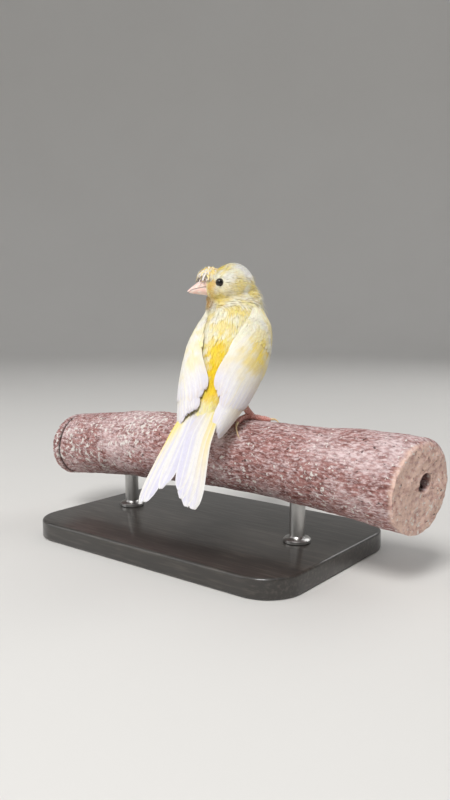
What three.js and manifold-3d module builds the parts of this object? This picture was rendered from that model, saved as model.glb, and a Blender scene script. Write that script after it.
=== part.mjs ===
// A canary standing on a cut length of branch, its head turned over its left shoulder,
// with the branch held by a flat display base and two short rods.
// Millimetres, +Z up. The origin is the centre of the base's underside, and +X runs along the branch.
import * as THREE from "three";
import { mergeVertices } from "three/addons/utils/BufferGeometryUtils.js";
import Module from "manifold-3d";

const wasm = await Module();
wasm.setup();

const GAP = 0.3; // clearance kept between pieces that touch
const rad = THREE.MathUtils.degToRad;
const lerp = THREE.MathUtils.lerp;
const smooth = THREE.MathUtils.smoothstep;

// Stand
const BASE = { length: 150, width: 100, thickness: 9, corner: 16, bevel: 1.2 };
const ROD = { radius: 3.5, spacing: 104, sides: 24 };
const PERCH_HEIGHT = 45; // branch axis above the floor, below the bird

// Branch: the distance along it is measured from the point below the bird
const BIRD_X = 11; // where the bird stands along +X
const PERCH = { left: -107, right: 103, sides: 28, rings: 22, rim: 5.5 };
const PERCH_RADIUS = [16.9, 16.7, 17, 17, 16.8, 17.2, 19.2, 19.8]; // from the left end to the right
const PERCH_SAG = { left: 7.5, right: 2.8 }; // how far each end lies below the middle
const PERCH_GROOVE = { inset: 5, width: 0.9, depth: 1.3 };
const PERCH_LUMPS = [0.22, 0.18]; // how uneven the branch is round its girth
const PERCH_HOLE = { radius: 4.2, depth: 6, y: 0.8, z: 1.8, sides: 20 };
const PERCH_CUT = { inset: 3.4, turn: 13, dip: 8 }; // the right end's saw cut faces -Y and down, in degrees

// Bird frame: the origin is on top of the branch, +Y the way the body faces, +X its right side
const BIRD_YAW = 18; // degrees towards the bird's left

// Trunk stations from the tail root to inside the head: y, z, half width, half depth, and how far the
// bird's lean shifts them to its right
const TRUNK = [
  [-27, 1.5, 4.2, 2.8, -1.6],
  [-20, 6.5, 9, 6.2, -1.2],
  [-11, 12.8, 14, 10.6, -0.9],
  [-2, 21, 16.8, 14.6, -0.3],
  [6, 31.5, 17.6, 17.4, 0.4],
  [11.5, 42, 15.9, 17.2, 1.3],
  [13.5, 51, 14.1, 14.4, 0.3],
  [12.5, 57.5, 12.9, 12, -0.5],
  [10, 62.5, 9, 8.6, -1],
  [8, 65.5, 4, 3.6, -2],
];
const NECK_CUT = { y: 13.4, z: 48.5, tilt: -4 }; // trunk below, neck above
const HEAD_CUT = { y: 11, z: 55.5, tilt: 0 }; // neck below, head above

// Head frame: origin at the middle of the brain case, +Y along the bill, +Z up
const HEAD = { x: -2.2, y: 9.6, z: 62, turn: 110, nod: -3 };
// Skull with its feathers, from the back of the head to the bill: y, z, half width, half height
const SKULL = [
  [-11.8, -0.6, 2, 2.2],
  [-10.6, -0.3, 5, 5.4],
  [-7, 0.2, 8.4, 9],
  [-2, 0.3, 10, 10.3],
  [3, -0.3, 9.6, 9.4],
  [7.5, -0.6, 7.4, 7],
  [9.3, -0.1, 5.9, 5.6],
  [10.5, 0.2, 4.1, 4.5],
];
const BILL = { rootY: 9.2, rootZ: -0.2, length: 10.4, drop: 8, halfHeight: 4.8, halfWidth: 3.7 };
const EYE = { radius: 2.3, y: 3.6, z: 1.3, sunk: 1.7, lid: 0.4 };
const NOSTRIL = { radius: 0.45, y: 3.4, z: 2.3, side: 0.62 }; // side is a share of the bill's half width

// Legs in the bird frame: the foot stands on the branch, the heel is behind it
// and nearer the tail. The right foot stands further back than the left by twice the stagger
const LEG = { footX: 13.6, footY: 1.05, footStagger: -2.45 };
const HEEL = { x: 8.8, y: -9, z: 12.2, stagger: -0.8 };
const SHANK_RADII = [[1.45], [1.35], [1.35], [1.45]];
// The thigh lies round the upper part of the shank's line; from and knee are shares of it
const THIGH = { from: 0.42, knee: 0.7, radii: [[1.7], [3.4], [4.6]] };
const TOE = { radius: 1.12, front: 11.5, hind: 11.5, claw: 4.2, hindClaw: 9, ball: 2.1, curl: 0.029 };
const TOE_RADII = [[1.1], [0.92], [1], [0.82], [0.9], [0.6]];
const CLAW_RADII = [[0.6], [0.5], [0.32], [0.12]];
// The three front toes: degrees that each turns out from straight ahead, and its length against the longest
const FRONT_TOES = [
  { turn: -28, share: 0.82 },
  { turn: 8, share: 1 },
  { turn: 66, share: 0.8 },
];
const HIND_TURN = 199; // the hind toe starts inwards, and its curl brings it back out

// Sheath that the folded wings lie on, from the shoulder to past the tail root, in the trunk's terms
const SHEATH = [
  [13.2, 50, 12.8, 15.4, 1.4],
  [10.8, 41, 16, 17.7, 1.6],
  [4, 30, 18.5, 17.4, 0.4],
  [-5, 19, 18, 14.6, -0.4],
  [-14, 9.5, 15.8, 11, -0.9],
  [-23, 1, 12.4, 8.4, -1.2],
  [-30, -5.5, 9, 6.6, -1.5],
];
// Edges of the folded wing as angles from the back's midline, from the shoulder to the tip
const WING_BACK_EDGE = [60, 46, 36, 23, 14, 17, 30, 46];
const WING_BELLY_EDGE = [84, 106, 112, 111, 108, 103, 98, 92];
const WING_TIP = { left: 0.94, right: 1.0 }; // share of the sheath that each wing reaches
const WING_DROOP = { left: 2, right: 9 }; // degrees that each wing's tip sinks towards the belly
const WING_CLOSE = { left: 12, right: 0 }; // degrees that each wing's lower half draws in over the back
const WING_CORE = { reach: 0.84, rise: 1.2, sink: 1.2 }; // the form that the feathers are rooted in

// Tiers of wing feathers, each row a list of alike feathers from the first one's place to the last one's.
// A place is [share along the wing, place across it], with -1 at the back edge and 1 at the belly edge.
const WING_TIERS = [
  // long flight feathers whose tips make the wing's point
  {
    count: 5,
    root: [[0.42, 0.3], [0.36, 0.88]],
    tip: [[0.89, -0.45], [1, 0.3]],
    width: 6.8,
    lift: [-0.4, 0.3],
    steps: 4,
  },
  // shorter ones above them
  {
    count: 4,
    root: [[0.3, -0.2], [0.32, 0.6]],
    tip: [[0.8, -0.54], [0.74, 0.7]],
    width: 6.8,
    lift: [-0.4, 0.6],
    steps: 4,
  },
  // three broad ones next to the back
  {
    count: 3,
    root: [[0.32, -0.15], [0.28, -0.7]],
    tip: [[0.84, -0.58], [0.7, -0.86]],
    width: 7,
    lift: [-0.1, 1.1],
    steps: 4,
  },
  // covers of the long feathers, by the wing's leading edge
  {
    count: 2,
    root: [[0.2, 0.76], [0.16, 0.95]],
    tip: [[0.48, 0.7], [0.4, 0.96]],
    width: 4.4,
    lift: [-0.3, 0.8],
    steps: 3,
  },
  // large covers
  {
    count: 5,
    root: [[0.2, 0.7], [0.2, -0.62]],
    tip: [[0.45, 0.62], [0.43, -0.68]],
    width: 6.2,
    lift: [-0.3, 1.2],
    steps: 3,
  },
  // small covers
  {
    count: 3,
    root: [[0.08, 0.5], [0.1, -0.5]],
    tip: [[0.28, 0.54], [0.28, -0.6]],
    width: 8,
    lift: [-0.5, 1.2],
    steps: 3,
  },
  // feathers of the shoulder, over the wing's back edge
  {
    count: 3,
    root: [[0.06, -0.7], [0.3, -0.98]],
    tip: [[0.32, -0.74], [0.56, -0.94]],
    width: 6.4,
    lift: [-0.2, 1.4],
    steps: 3,
  },
];
const WING_FEATHER = { stagger: 0.09, slant: 0.22, crown: 0.2, thickness: [0.65, 0.5] };

// Tail in two lobes. Across it, x runs to the bird's right; along it, distance runs from its root
const TAIL = { y: -17, z: 10.5, pitch: 36, root: 4, spread: 4, sway: -2.6 };
const TAIL_FEATHER = { width: 6.4, thickness: [0.6, 0.5], step: 0.22, slant: 0.12, arch: 0.012 };
const TAIL_ROOT = { from: -3, to: 17, wide: [6.4, 4.6], high: [3.4, 0.9] };
const TAIL_LOBES = [
  // tip places of the outermost and innermost feather, and how far the inner tips fall short
  { side: -1, outer: 12.4, inner: 4, length: 62.4, short: 9.5, raise: 0 },
  { side: 1, outer: 11.2, inner: 3.4, length: 63.4, short: 8, raise: 0.35 },
];
const TAIL_FEATHERS = 5; // in each lobe

// Crest locks in rings round a spot on the forehead: how many, their arc either side of straight ahead in
// degrees, how far out they root, and their length, rise and droop
const CREST = { y: 8, z: 5.2, width: 2.9, thickness: 0.8, mound: [3.4, 3.2, 2.6] };
const CREST_RINGS = [
  { count: 8, arc: 150, root: 1.8, length: 4.8, rise: 2, droop: 2.6, curl: 0.5 },
  { count: 6, arc: 155, root: 1, length: 3.6, rise: 3.6, droop: 1.2, curl: -0.8 },
  { count: 3, arc: 120, root: 0.3, length: 1.6, rise: 4.6, droop: 0.4, curl: 0.8 },
];

const COLOUR = {
  plumage: 0xf1e6a8,
  white: 0xf0eee8,
  bill: 0xe5b9ad,
  eye: 0x0d0b0c,
  leg: 0xd99c93,
  wood: 0xa97f72,
  stand: 0x3a3632,
};

// A value list read at t from 0 to 1 along its rows, through every row and smooth between them.
function along(rows, t) {
  const place = THREE.MathUtils.clamp(t, 0, 1) * (rows.length - 1);
  const i = Math.min(Math.floor(place), rows.length - 2);
  const f = place - i;
  const row = (k) => [rows[THREE.MathUtils.clamp(k, 0, rows.length - 1)]].flat();
  const [p, q, r, s] = [row(i - 1), row(i), row(i + 1), row(i + 2)];
  return q.map((_, k) => {
    const [a, b] = [(r[k] - p[k]) / 2, (s[k] - q[k]) / 2];
    return (2 * q[k] - 2 * r[k] + a + b) * f ** 3 + (3 * r[k] - 3 * q[k] - 2 * a - b) * f * f + a * f + q[k];
  });
}

// A closed solid from a three.js geometry, with its faces turned outwards.
function solid(geometry) {
  const bare = new THREE.BufferGeometry();
  bare.setAttribute("position", geometry.getAttribute("position"));
  bare.setIndex(geometry.index);
  const merged = mergeVertices(bare, 1e-4);
  const index = merged.index ? merged.index.array : [];
  const kept = [];
  for (let i = 0; i < index.length; i += 3) {
    const [a, b, c] = [index[i], index[i + 1], index[i + 2]];
    if (a !== b && b !== c && c !== a) kept.push(a, b, c);
  }
  const make = (order) =>
    new wasm.Manifold(
      new wasm.Mesh({
        numProp: 3,
        vertProperties: new Float32Array(merged.attributes.position.array),
        triVerts: new Uint32Array(order),
      }),
    );
  const made = make(kept);
  if (made.volume() > 0) return made;
  return make(kept.map((_, i) => kept[i - (i % 3) + [0, 2, 1][i % 3]]));
}

const join = (pieces) => pieces.reduce((all, piece) => all.add(piece));
const cutAll = (piece, ...cutters) => cutters.reduce((left, cutter) => left.subtract(cutter), piece);

// The largest closed surface of a piece, which drops scraps that a cut left.
function largest(piece) {
  return piece.decompose().reduce((a, b) => (b.volume() > a.volume() ? b : a));
}

// A closed tube: place(t, angle, r) puts the point at share t along it, with r 0 on its axis
// and 1 on its wall.
function tube(sides, rings, place) {
  const geometry = new THREE.CylinderGeometry(1, 1, 1, sides, rings);
  const position = geometry.getAttribute("position");
  const at = new THREE.Vector3();
  for (let i = 0; i < position.count; i++) {
    at.fromBufferAttribute(position, i);
    const r = Math.min(1, Math.round(Math.hypot(at.x, at.z)));
    const put = place(at.y + 0.5, Math.atan2(at.x, at.z), r);
    position.setXYZ(i, put.x, put.y, put.z);
  }
  return solid(geometry);
}

// A closed plate split alike on both faces: place(u, v, side) has u 0 to 1 along it, v -1 to 1 across it
// and side 1 or -1.
function plate(stepsAlong, stepsAcross, place) {
  const sheet = new THREE.PlaneGeometry(1, 2, stepsAlong, stepsAcross);
  const flat = sheet.getAttribute("position");
  const faces = Array.from(sheet.index.array);
  const points = [];
  for (const side of [1, -1])
    for (let i = 0; i < flat.count; i++) {
      const { x, y, z } = place(flat.getX(i) + 0.5, flat.getY(i), side);
      points.push(x, y, z);
    }
  const order = [...faces];
  for (let i = 0; i < faces.length; i += 3)
    order.push(faces[i] + flat.count, faces[i + 2] + flat.count, faces[i + 1] + flat.count);
  const wide = stepsAlong + 1;
  const rim = [];
  for (let i = 0; i < stepsAlong; i++) rim.push(i);
  for (let j = 0; j < stepsAcross; j++) rim.push(j * wide + stepsAlong);
  for (let i = stepsAlong; i > 0; i--) rim.push(stepsAcross * wide + i);
  for (let j = stepsAcross; j > 0; j--) rim.push(j * wide);
  rim.forEach((a, i) => {
    const b = rim[(i + 1) % rim.length];
    order.push(a, b, a + flat.count, b, b + flat.count, a + flat.count);
  });
  const geometry = new THREE.BufferGeometry();
  geometry.setAttribute("position", new THREE.Float32BufferAttribute(points, 3));
  geometry.setIndex(order);
  return solid(geometry);
}

// Everything on one side of a plane that holds the X direction.
function halfSpace({ y, z, tilt }, above, gap) {
  const reach = 200;
  const middle = (above ? 1 : -1) * (reach / 2 + gap);
  const box = new THREE.BoxGeometry(reach, reach, reach).translate(0, 0, middle);
  return solid(box.rotateX(rad(tilt)).translate(0, y, z));
}

// Branch, in its own frame: the axis runs along X and z is 0 at the bird
function perchSag(x) {
  return x < 0 ? -PERCH_SAG.left * (x / PERCH.left) ** 2 : -PERCH_SAG.right * (x / PERCH.right) ** 2;
}
function perchRadius(x) {
  const [radius] = along(PERCH_RADIUS, (x - PERCH.left) / (PERCH.right - PERCH.left));
  const fromEnd = Math.min(PERCH.right - x, PERCH.rim);
  return radius - PERCH.rim * (1 - Math.sqrt(Math.max(0, 1 - (1 - fromEnd / PERCH.rim) ** 2)));
}
const perchTop = perchRadius(0) + perchSag(0);
function perchPoint(x, angle, out, grow = 0) {
  const lump = PERCH_LUMPS[0] * Math.sin(2 * angle + x / 13) + PERCH_LUMPS[1] * Math.sin(3 * angle - x / 7);
  const radius = (perchRadius(x) + lump * smooth(Math.abs(x), 20, 50) + grow) * out;
  return new THREE.Vector3(x, -radius * Math.sin(angle), perchSag(x) + radius * Math.cos(angle));
}
function perchBody(grow = 0) {
  const rimStart = 0.86; // the last rings round the right rim
  return tube(PERCH.sides, PERCH.rings, (t, angle, r) => {
    const straight = Math.min(1, t / rimStart);
    const end = Math.max(0, (t - rimStart) / (1 - rimStart));
    const x = lerp(PERCH.left - grow, PERCH.right - PERCH.rim, straight);
    const past = PERCH.rim * Math.sin((end * Math.PI) / 2) + grow * end;
    return perchPoint(Math.min(x + past, PERCH.right + grow), angle, r, grow);
  });
}
function perch() {
  const grooveX = PERCH.left + PERCH_GROOVE.inset;
  const inner = perchRadius(grooveX) - PERCH_GROOVE.depth;
  const outer = inner + 6; // well outside the bark
  const ring = [
    [inner, 0],
    [outer, 0],
    [outer, PERCH_GROOVE.width],
    [inner, PERCH_GROOVE.width],
    [inner, 0],
  ].map(([r, h]) => new THREE.Vector2(r, h));
  const groove = new THREE.LatheGeometry(ring, PERCH.sides).rotateZ(rad(-90));
  groove.translate(grooveX, 0, perchSag(grooveX));
  const endwise = (geometry) =>
    solid(
      geometry
        .rotateY(rad(PERCH_CUT.dip))
        .rotateZ(rad(-PERCH_CUT.turn))
        .translate(PERCH.right - PERCH_CUT.inset, 0, perchSag(PERCH.right)),
    );
  const waste = 60; // all that the saw takes off
  const trim = new THREE.BoxGeometry(waste, waste, waste).translate(waste / 2, 0, 0);
  const { radius, depth, y, z, sides } = PERCH_HOLE;
  const bit = new THREE.CylinderGeometry(radius, radius, 2 * depth, sides);
  bit.rotateZ(rad(90)).translate(0, y, z);
  return largest(cutAll(perchBody(), solid(groove), endwise(trim), endwise(bit)));
}

// Stand
function roundedOutline(length, width, corner) {
  const [x, y] = [length / 2 - corner, width / 2 - corner];
  const outline = new THREE.Shape();
  outline.absarc(x, y, corner, 0, Math.PI / 2);
  outline.absarc(-x, y, corner, Math.PI / 2, Math.PI);
  outline.absarc(-x, -y, corner, Math.PI, 1.5 * Math.PI);
  outline.absarc(x, -y, corner, 1.5 * Math.PI, 2 * Math.PI);
  return outline;
}
function standBase() {
  const { length, width, thickness, corner, bevel } = BASE;
  const geometry = new THREE.ExtrudeGeometry(roundedOutline(length - 2 * bevel, width - 2 * bevel, corner), {
    depth: thickness - 2 * bevel,
    bevelThickness: bevel,
    bevelSize: bevel,
    bevelSegments: 1,
    curveSegments: 5,
  });
  geometry.deleteAttribute("uv").deleteAttribute("normal").translate(0, 0, bevel);
  return solid(mergeVertices(geometry));
}
function standRod(x) {
  const foot = BASE.thickness + GAP;
  const height = PERCH_HEIGHT - foot;
  const post = new THREE.CylinderGeometry(ROD.radius, ROD.radius, height, ROD.sides);
  post.rotateX(rad(90)).translate(x - BIRD_X, 0, foot + height / 2 - PERCH_HEIGHT);
  return largest(solid(post).subtract(perchBody(GAP)));
}

// Trunk and sheath: both are rings of ellipses along a line in the bird's middle plane
function ringPoint(rows, t, angle, out, grow = 0) {
  const [y, z, wide, deep, shift] = along(rows, t);
  const [beforeY, beforeZ] = along(rows, t - 0.01);
  const [afterY, afterZ] = along(rows, t + 0.01);
  const length = Math.hypot(afterY - beforeY, afterZ - beforeZ);
  const up = [-(afterZ - beforeZ) / length, (afterY - beforeY) / length];
  const rise = (deep + grow) * Math.cos(angle) * out;
  return new THREE.Vector3(shift + (wide + grow) * Math.sin(angle) * out, y + up[0] * rise, z + up[1] * rise);
}
const trunk = (grow = 0) => tube(28, 22, (t, angle, r) => ringPoint(TRUNK, t, angle, r, grow));
// The sheath runs tailwards, so its back lies half a turn from the trunk's
const sheathPoint = (t, degrees, height) => ringPoint(SHEATH, t, rad(180 - degrees), 1, height);

// Head
const headFrame = new THREE.Matrix4()
  .makeTranslation(HEAD.x, HEAD.y, HEAD.z)
  .multiply(new THREE.Matrix4().makeRotationZ(rad(HEAD.turn)))
  .multiply(new THREE.Matrix4().makeRotationX(rad(HEAD.nod)));
const inHead = (x, y, z) => new THREE.Vector3(x, y, z).applyMatrix4(headFrame);
function skull(grow = 0) {
  return tube(26, 14, (t, angle, r) => {
    const [y, z, wide, high] = along(SKULL, t);
    return inHead((wide + grow) * Math.sin(angle) * r, y, z + (high + grow) * Math.cos(angle) * r);
  });
}
function skullHalfWidth(y, z) {
  let best = 0;
  for (let t = 0; t <= 1; t += 0.005) {
    const [sy, sz, wide, high] = along(SKULL, t);
    if (Math.abs(sy - y) > 0.15) continue;
    best = Math.max(best, wide * Math.sqrt(Math.max(0, 1 - ((z - sz) / high) ** 2)));
  }
  return best;
}
const eyeX = skullHalfWidth(EYE.y, EYE.z) - EYE.sunk;
function eyeBall(side, grow = 0) {
  const ball = new THREE.SphereGeometry(EYE.radius + grow, 14, 9).rotateZ(rad(90));
  return solid(ball.translate(side * eyeX, EYE.y, EYE.z).applyMatrix4(headFrame));
}
function lids(side) {
  const open = Math.sqrt(EYE.radius ** 2 - EYE.sunk ** 2) + EYE.lid * 0.6;
  const ring = new THREE.TorusGeometry(open, EYE.lid, 5, 12).rotateY(rad(90));
  const proud = eyeX + EYE.sunk - EYE.lid * 0.6;
  return solid(ring.translate(side * proud, EYE.y, EYE.z).applyMatrix4(headFrame));
}
// Bill, a short cone with a bowed ridge: t is 0 at its root inside the face and 1 at its tip
const billFrame = headFrame
  .clone()
  .multiply(new THREE.Matrix4().makeTranslation(0, BILL.rootY, BILL.rootZ))
  .multiply(new THREE.Matrix4().makeRotationX(rad(-BILL.drop)));
function billCone() {
  return tube(16, 7, (t, angle, r) => {
    const swell = Math.sqrt(1 - t) * (1 - 0.25 * t) + 0.035;
    const wide = BILL.halfWidth * (1 - t) ** 0.8 * (1 - 0.12 * t) + 0.12;
    const upper = Math.cos(angle) > 0 ? 1 : 0.86;
    const droop = -0.4 * t * t;
    return new THREE.Vector3(
      wide * Math.sin(angle) * r,
      t * BILL.length,
      droop + BILL.halfHeight * lerp(1 - t, swell, 0.5) * Math.cos(angle) * upper * r,
    ).applyMatrix4(billFrame);
  });
}
// The space below or above the line of the mouth, which bows up towards the tip
function mouthSpace(above) {
  return plate(6, 1, (u, v, side) => {
    const y = lerp(-6, BILL.length + 4, u);
    const line = -0.2 + 0.5 * Math.sin(u * Math.PI) - 1.5 * smooth(u, 0.6, 1);
    const edge = line + (above ? 0.5 : -0.5) * GAP;
    const far = above ? 12 : -12;
    return new THREE.Vector3(8 * v, y, side > 0 ? edge : far).applyMatrix4(billFrame);
  });
}
function nostrils() {
  return join(
    [-1, 1].map((side) =>
      solid(
        new THREE.SphereGeometry(NOSTRIL.radius, 10, 8)
          .translate(side * BILL.halfWidth * NOSTRIL.side, NOSTRIL.y, NOSTRIL.z)
          .applyMatrix4(billFrame),
      ),
    ),
  );
}

// Wings, folded on the sheath; side is 1 for the right wing
const wingTip = (side) => (side > 0 ? WING_TIP.right : WING_TIP.left);
const wingDroop = (side) => (side > 0 ? WING_DROOP.right : WING_DROOP.left);
function wingPoint(side, t, degrees, height) {
  return sheathPoint(t, side * (degrees + wingDroop(side) * t * t), height);
}
function wingAcross(side, u, place) {
  const back = along(WING_BACK_EDGE, u)[0] - WING_CLOSE[side > 0 ? "right" : "left"] * smooth(u, 0.45, 0.85);
  const [belly] = along(WING_BELLY_EDGE, u);
  return lerp(back, belly, (place + 1) / 2);
}
const wingThin = (u) => 1 - 0.7 * u;
const wingTop = (u, place) => WING_CORE.rise * wingThin(u) * (1 - 0.7 * Math.min(1, Math.abs(place)) ** 4);
function wingCore(side) {
  return plate(7, 4, (s, v, face) => {
    const u = s * WING_CORE.reach;
    const height = face > 0 ? wingTop(u, v) : -WING_CORE.sink * wingThin(u);
    return wingPoint(side, u * wingTip(side), wingAcross(side, u, v * (1 - 0.35 * s ** 6)), height);
  });
}
// Half width of a feather at share s along it: a narrow root, straight sides and a rounded tip
const featherOutline = (s) => Math.min(1, 0.55 + 1.4 * s) * Math.sqrt(1 - 0.94 * smooth(s, 0.62, 1.02) ** 2);
function wingFeather(side, tier, i) {
  const f = tier.count > 1 ? i / (tier.count - 1) : 0;
  const place = ([first, last]) => [0, 1].map((k) => lerp(first[k], last[k], f));
  const [root, tip] = [place(tier.root), place(tier.tip)];
  const stagger = WING_FEATHER.stagger * (i % 2);
  return plate(tier.steps, 1, (s, v, face) => {
    const u = lerp(root[0], tip[0], s);
    const t = u * wingTip(side);
    const middle = lerp(root[1], tip[1], s);
    const across = (v * tier.width * featherOutline(s)) / 2;
    const degrees = wingAcross(side, u, middle) + THREE.MathUtils.radToDeg(across / along(SHEATH, t)[2]);
    const lift = lerp(...tier.lift, s) * wingThin(u * 0.6);
    // each one's belly edge lies under its neighbour's back edge
    const form = WING_FEATHER.crown * (1 - v * v) - WING_FEATHER.slant * v;
    const top = wingTop(u, middle) + lift + stagger + form;
    return wingPoint(side, t, degrees, face > 0 ? top : top - lerp(...WING_FEATHER.thickness, s));
  });
}
function wing(side) {
  const feathers = WING_TIERS.flatMap((tier) =>
    Array.from({ length: tier.count }, (_, i) => wingFeather(side, tier, i)),
  );
  return join([wingCore(side), ...feathers]);
}

// Tail: u runs along it, x across it and lift off it
const tailFrame = new THREE.Matrix4()
  .makeTranslation(0, TAIL.y, TAIL.z)
  .multiply(new THREE.Matrix4().makeRotationX(rad(180 + TAIL.pitch)));
const onTail = (x, distance, lift) => new THREE.Vector3(x, distance, -lift).applyMatrix4(tailFrame);
function tailRoot(grow = 0) {
  return tube(14, 6, (t, angle, r) => {
    const wide = lerp(...TAIL_ROOT.wide, t) * Math.sqrt(1 - 0.9 * t ** 4) + grow;
    const high = lerp(...TAIL_ROOT.high, t) + grow;
    const distance = lerp(TAIL_ROOT.from, TAIL_ROOT.to, t);
    return onTail(wide * Math.sin(angle) * r, distance, high * Math.cos(angle) * r);
  });
}
function tailFeather(lobe, i) {
  const f = i / (TAIL_FEATHERS - 1); // 0 for the outermost
  const root = lobe.side * lerp(TAIL.spread, 0.5, f);
  const tip = lobe.side * lerp(lobe.outer, lobe.inner, f);
  const end = lobe.length - lobe.short * f ** 2 - 1.2 * (1 - f) ** 4;
  return plate(5, 1, (s, v, face) => {
    const distance = lerp(TAIL.root, end, s);
    const bend = TAIL.sway * Math.sin(Math.PI * Math.sqrt(s));
    const x = lerp(root, tip, s) + bend + (v * TAIL_FEATHER.width * featherOutline(s)) / 2;
    const layer = lobe.raise + TAIL_FEATHER.step * i - TAIL_FEATHER.slant * v * lobe.side;
    const arch = TAIL_FEATHER.arch * (x - bend) ** 2 * s;
    return onTail(x, distance, layer - arch + (face * lerp(...TAIL_FEATHER.thickness, s)) / 2);
  });
}
function tail() {
  const feathers = TAIL_LOBES.flatMap((lobe) =>
    Array.from({ length: TAIL_FEATHERS }, (_, i) => tailFeather(lobe, i)),
  );
  return join([tailRoot(), ...feathers]);
}

// Legs and feet. Toes follow the branch: reach is the way round it, drift the way along it
const birdToPerch = new THREE.Matrix4()
  .makeTranslation(0, 0, perchTop)
  .multiply(new THREE.Matrix4().makeRotationZ(rad(BIRD_YAW)));
const perchToBird = birdToPerch.clone().invert();
function onPerch(x, y, lift) {
  const radius = perchRadius(x) + lift;
  const angle = y / (perchRadius(x) + TOE.radius);
  const point = new THREE.Vector3(x, radius * Math.sin(angle), perchSag(x) + radius * Math.cos(angle));
  return point.applyMatrix4(perchToBird);
}
// Where each foot stands: the distance along the branch and the way round it
function footing(side) {
  const spot = new THREE.Vector3(side * LEG.footX, LEG.footY + side * LEG.footStagger, 0);
  spot.applyMatrix4(birdToPerch);
  const radius = perchRadius(spot.x) + TOE.radius;
  return { x: spot.x, y: Math.asin(spot.y / radius) * radius };
}
function ankle(side) {
  const { x, y } = footing(side);
  return onPerch(x, y, TOE.radius * 1.2);
}
const heel = (side) => new THREE.Vector3(side * HEEL.x, HEEL.y + side * HEEL.stagger, HEEL.z);
function rope(points, radii, sides, rings) {
  const line = new THREE.CatmullRomCurve3(points);
  const frames = line.computeFrenetFrames(rings, false);
  return tube(sides, rings, (t, angle, r) => {
    const i = Math.round(t * rings);
    const [radius] = along(radii, t);
    return line
      .getPointAt(t)
      .addScaledVector(frames.normals[i], radius * Math.cos(angle) * r)
      .addScaledVector(frames.binormals[i], radius * Math.sin(angle) * r);
  });
}
function toe(side, turn, length, claw, curl = 0) {
  const from = footing(side);
  const [across, onward] = [side * Math.sin(rad(turn)), Math.cos(rad(turn))];
  const at = (s, lift) => onPerch(from.x + s * across + side * curl * s * s, from.y + s * onward, lift);
  const r = TOE.radius;
  const bones = [at(-0.6, r * 1.2), at(length * 0.33, r * 1.05), at(length * 0.66, r), at(length, r * 0.95)];
  const nail = [
    at(length - 1.2, r * 1.1),
    at(length + claw * 0.35, r * 1.5),
    at(length + claw * 0.75, r * 1.1),
    at(length + claw, 0.25),
  ];
  return rope(bones, TOE_RADII, 7, 5).add(rope(nail, CLAW_RADII, 5, 3));
}
function ball(side, grow = 0) {
  const { x, y, z } = ankle(side);
  return solid(new THREE.SphereGeometry(TOE.ball + grow, 10, 7).translate(x, y, z));
}
function foot(side) {
  const front = FRONT_TOES.map(({ turn, share }) => toe(side, turn, TOE.front * share, TOE.claw));
  return [ball(side), ...front, toe(side, HIND_TURN, TOE.hind, TOE.hindClaw, TOE.curl)];
}
function shank(side) {
  const [base, top] = [ankle(side), heel(side)];
  return rope([base, base.clone().lerp(top, 0.5), top], SHANK_RADII, 10, 6);
}
function thigh(side) {
  const [base, top] = [ankle(side), heel(side)];
  const line = [base.clone().lerp(top, THIGH.from), base.clone().lerp(top, THIGH.knee), top];
  return rope(line, THIGH.radii, 14, 6);
}

// Crest: short curled locks rooted in a low mound on the forehead
function lock(ring, i) {
  const offset = ring.count > 1 ? i / (ring.count - 1) - 0.5 : 0;
  const way = rad(2 * ring.arc * offset);
  const out = new THREE.Vector3(Math.sin(way), Math.cos(way), 0);
  const across = new THREE.Vector3(Math.cos(way), -Math.sin(way), 0);
  const uneven = 1 + 0.14 * Math.sin(5 * i + ring.count);
  const centre = (s) =>
    new THREE.Vector3(0, CREST.y, CREST.z)
      .addScaledVector(out, ring.root + ring.length * uneven * s)
      .addScaledVector(across, ring.curl * s * s)
      .add(new THREE.Vector3(0, 0, ring.rise * Math.sin(s * 2.2) - ring.droop * s * s));
  return plate(3, 1, (s, v, face) => {
    const along = centre(s + 0.02).sub(centre(s - 0.02)).normalize();
    const normal = new THREE.Vector3().crossVectors(across, along).normalize();
    const half = (CREST.width / 2) * (1 - 0.72 * s ** 2.5);
    const thick = CREST.thickness * lerp(1, 0.5, s) * (1 - 0.35 * v * v);
    const point = centre(s).addScaledVector(across, v * half);
    return point.addScaledVector(normal, (face * thick) / 2 - 0.25 * v * v).applyMatrix4(headFrame);
  });
}
function crest() {
  const mound = new THREE.SphereGeometry(1, 12, 7).scale(...CREST.mound).rotateX(rad(-25));
  const locks = CREST_RINGS.flatMap((ring) =>
    Array.from({ length: ring.count }, (_, i) => lock(ring, i)),
  );
  return join([solid(mound.translate(0, CREST.y - 0.4, CREST.z + 0.4).applyMatrix4(headFrame)), ...locks]);
}

function asGeometry(piece) {
  const mesh = piece.getMesh();
  const points = new Float32Array(mesh.numVert * 3);
  for (let i = 0; i < mesh.numVert; i++)
    points.set(mesh.vertProperties.subarray(i * mesh.numProp, i * mesh.numProp + 3), i * 3);
  return new THREE.BufferGeometry()
    .setAttribute("position", new THREE.BufferAttribute(points, 3))
    .setIndex(new THREE.BufferAttribute(new Uint32Array(mesh.triVerts), 1));
}
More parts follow.
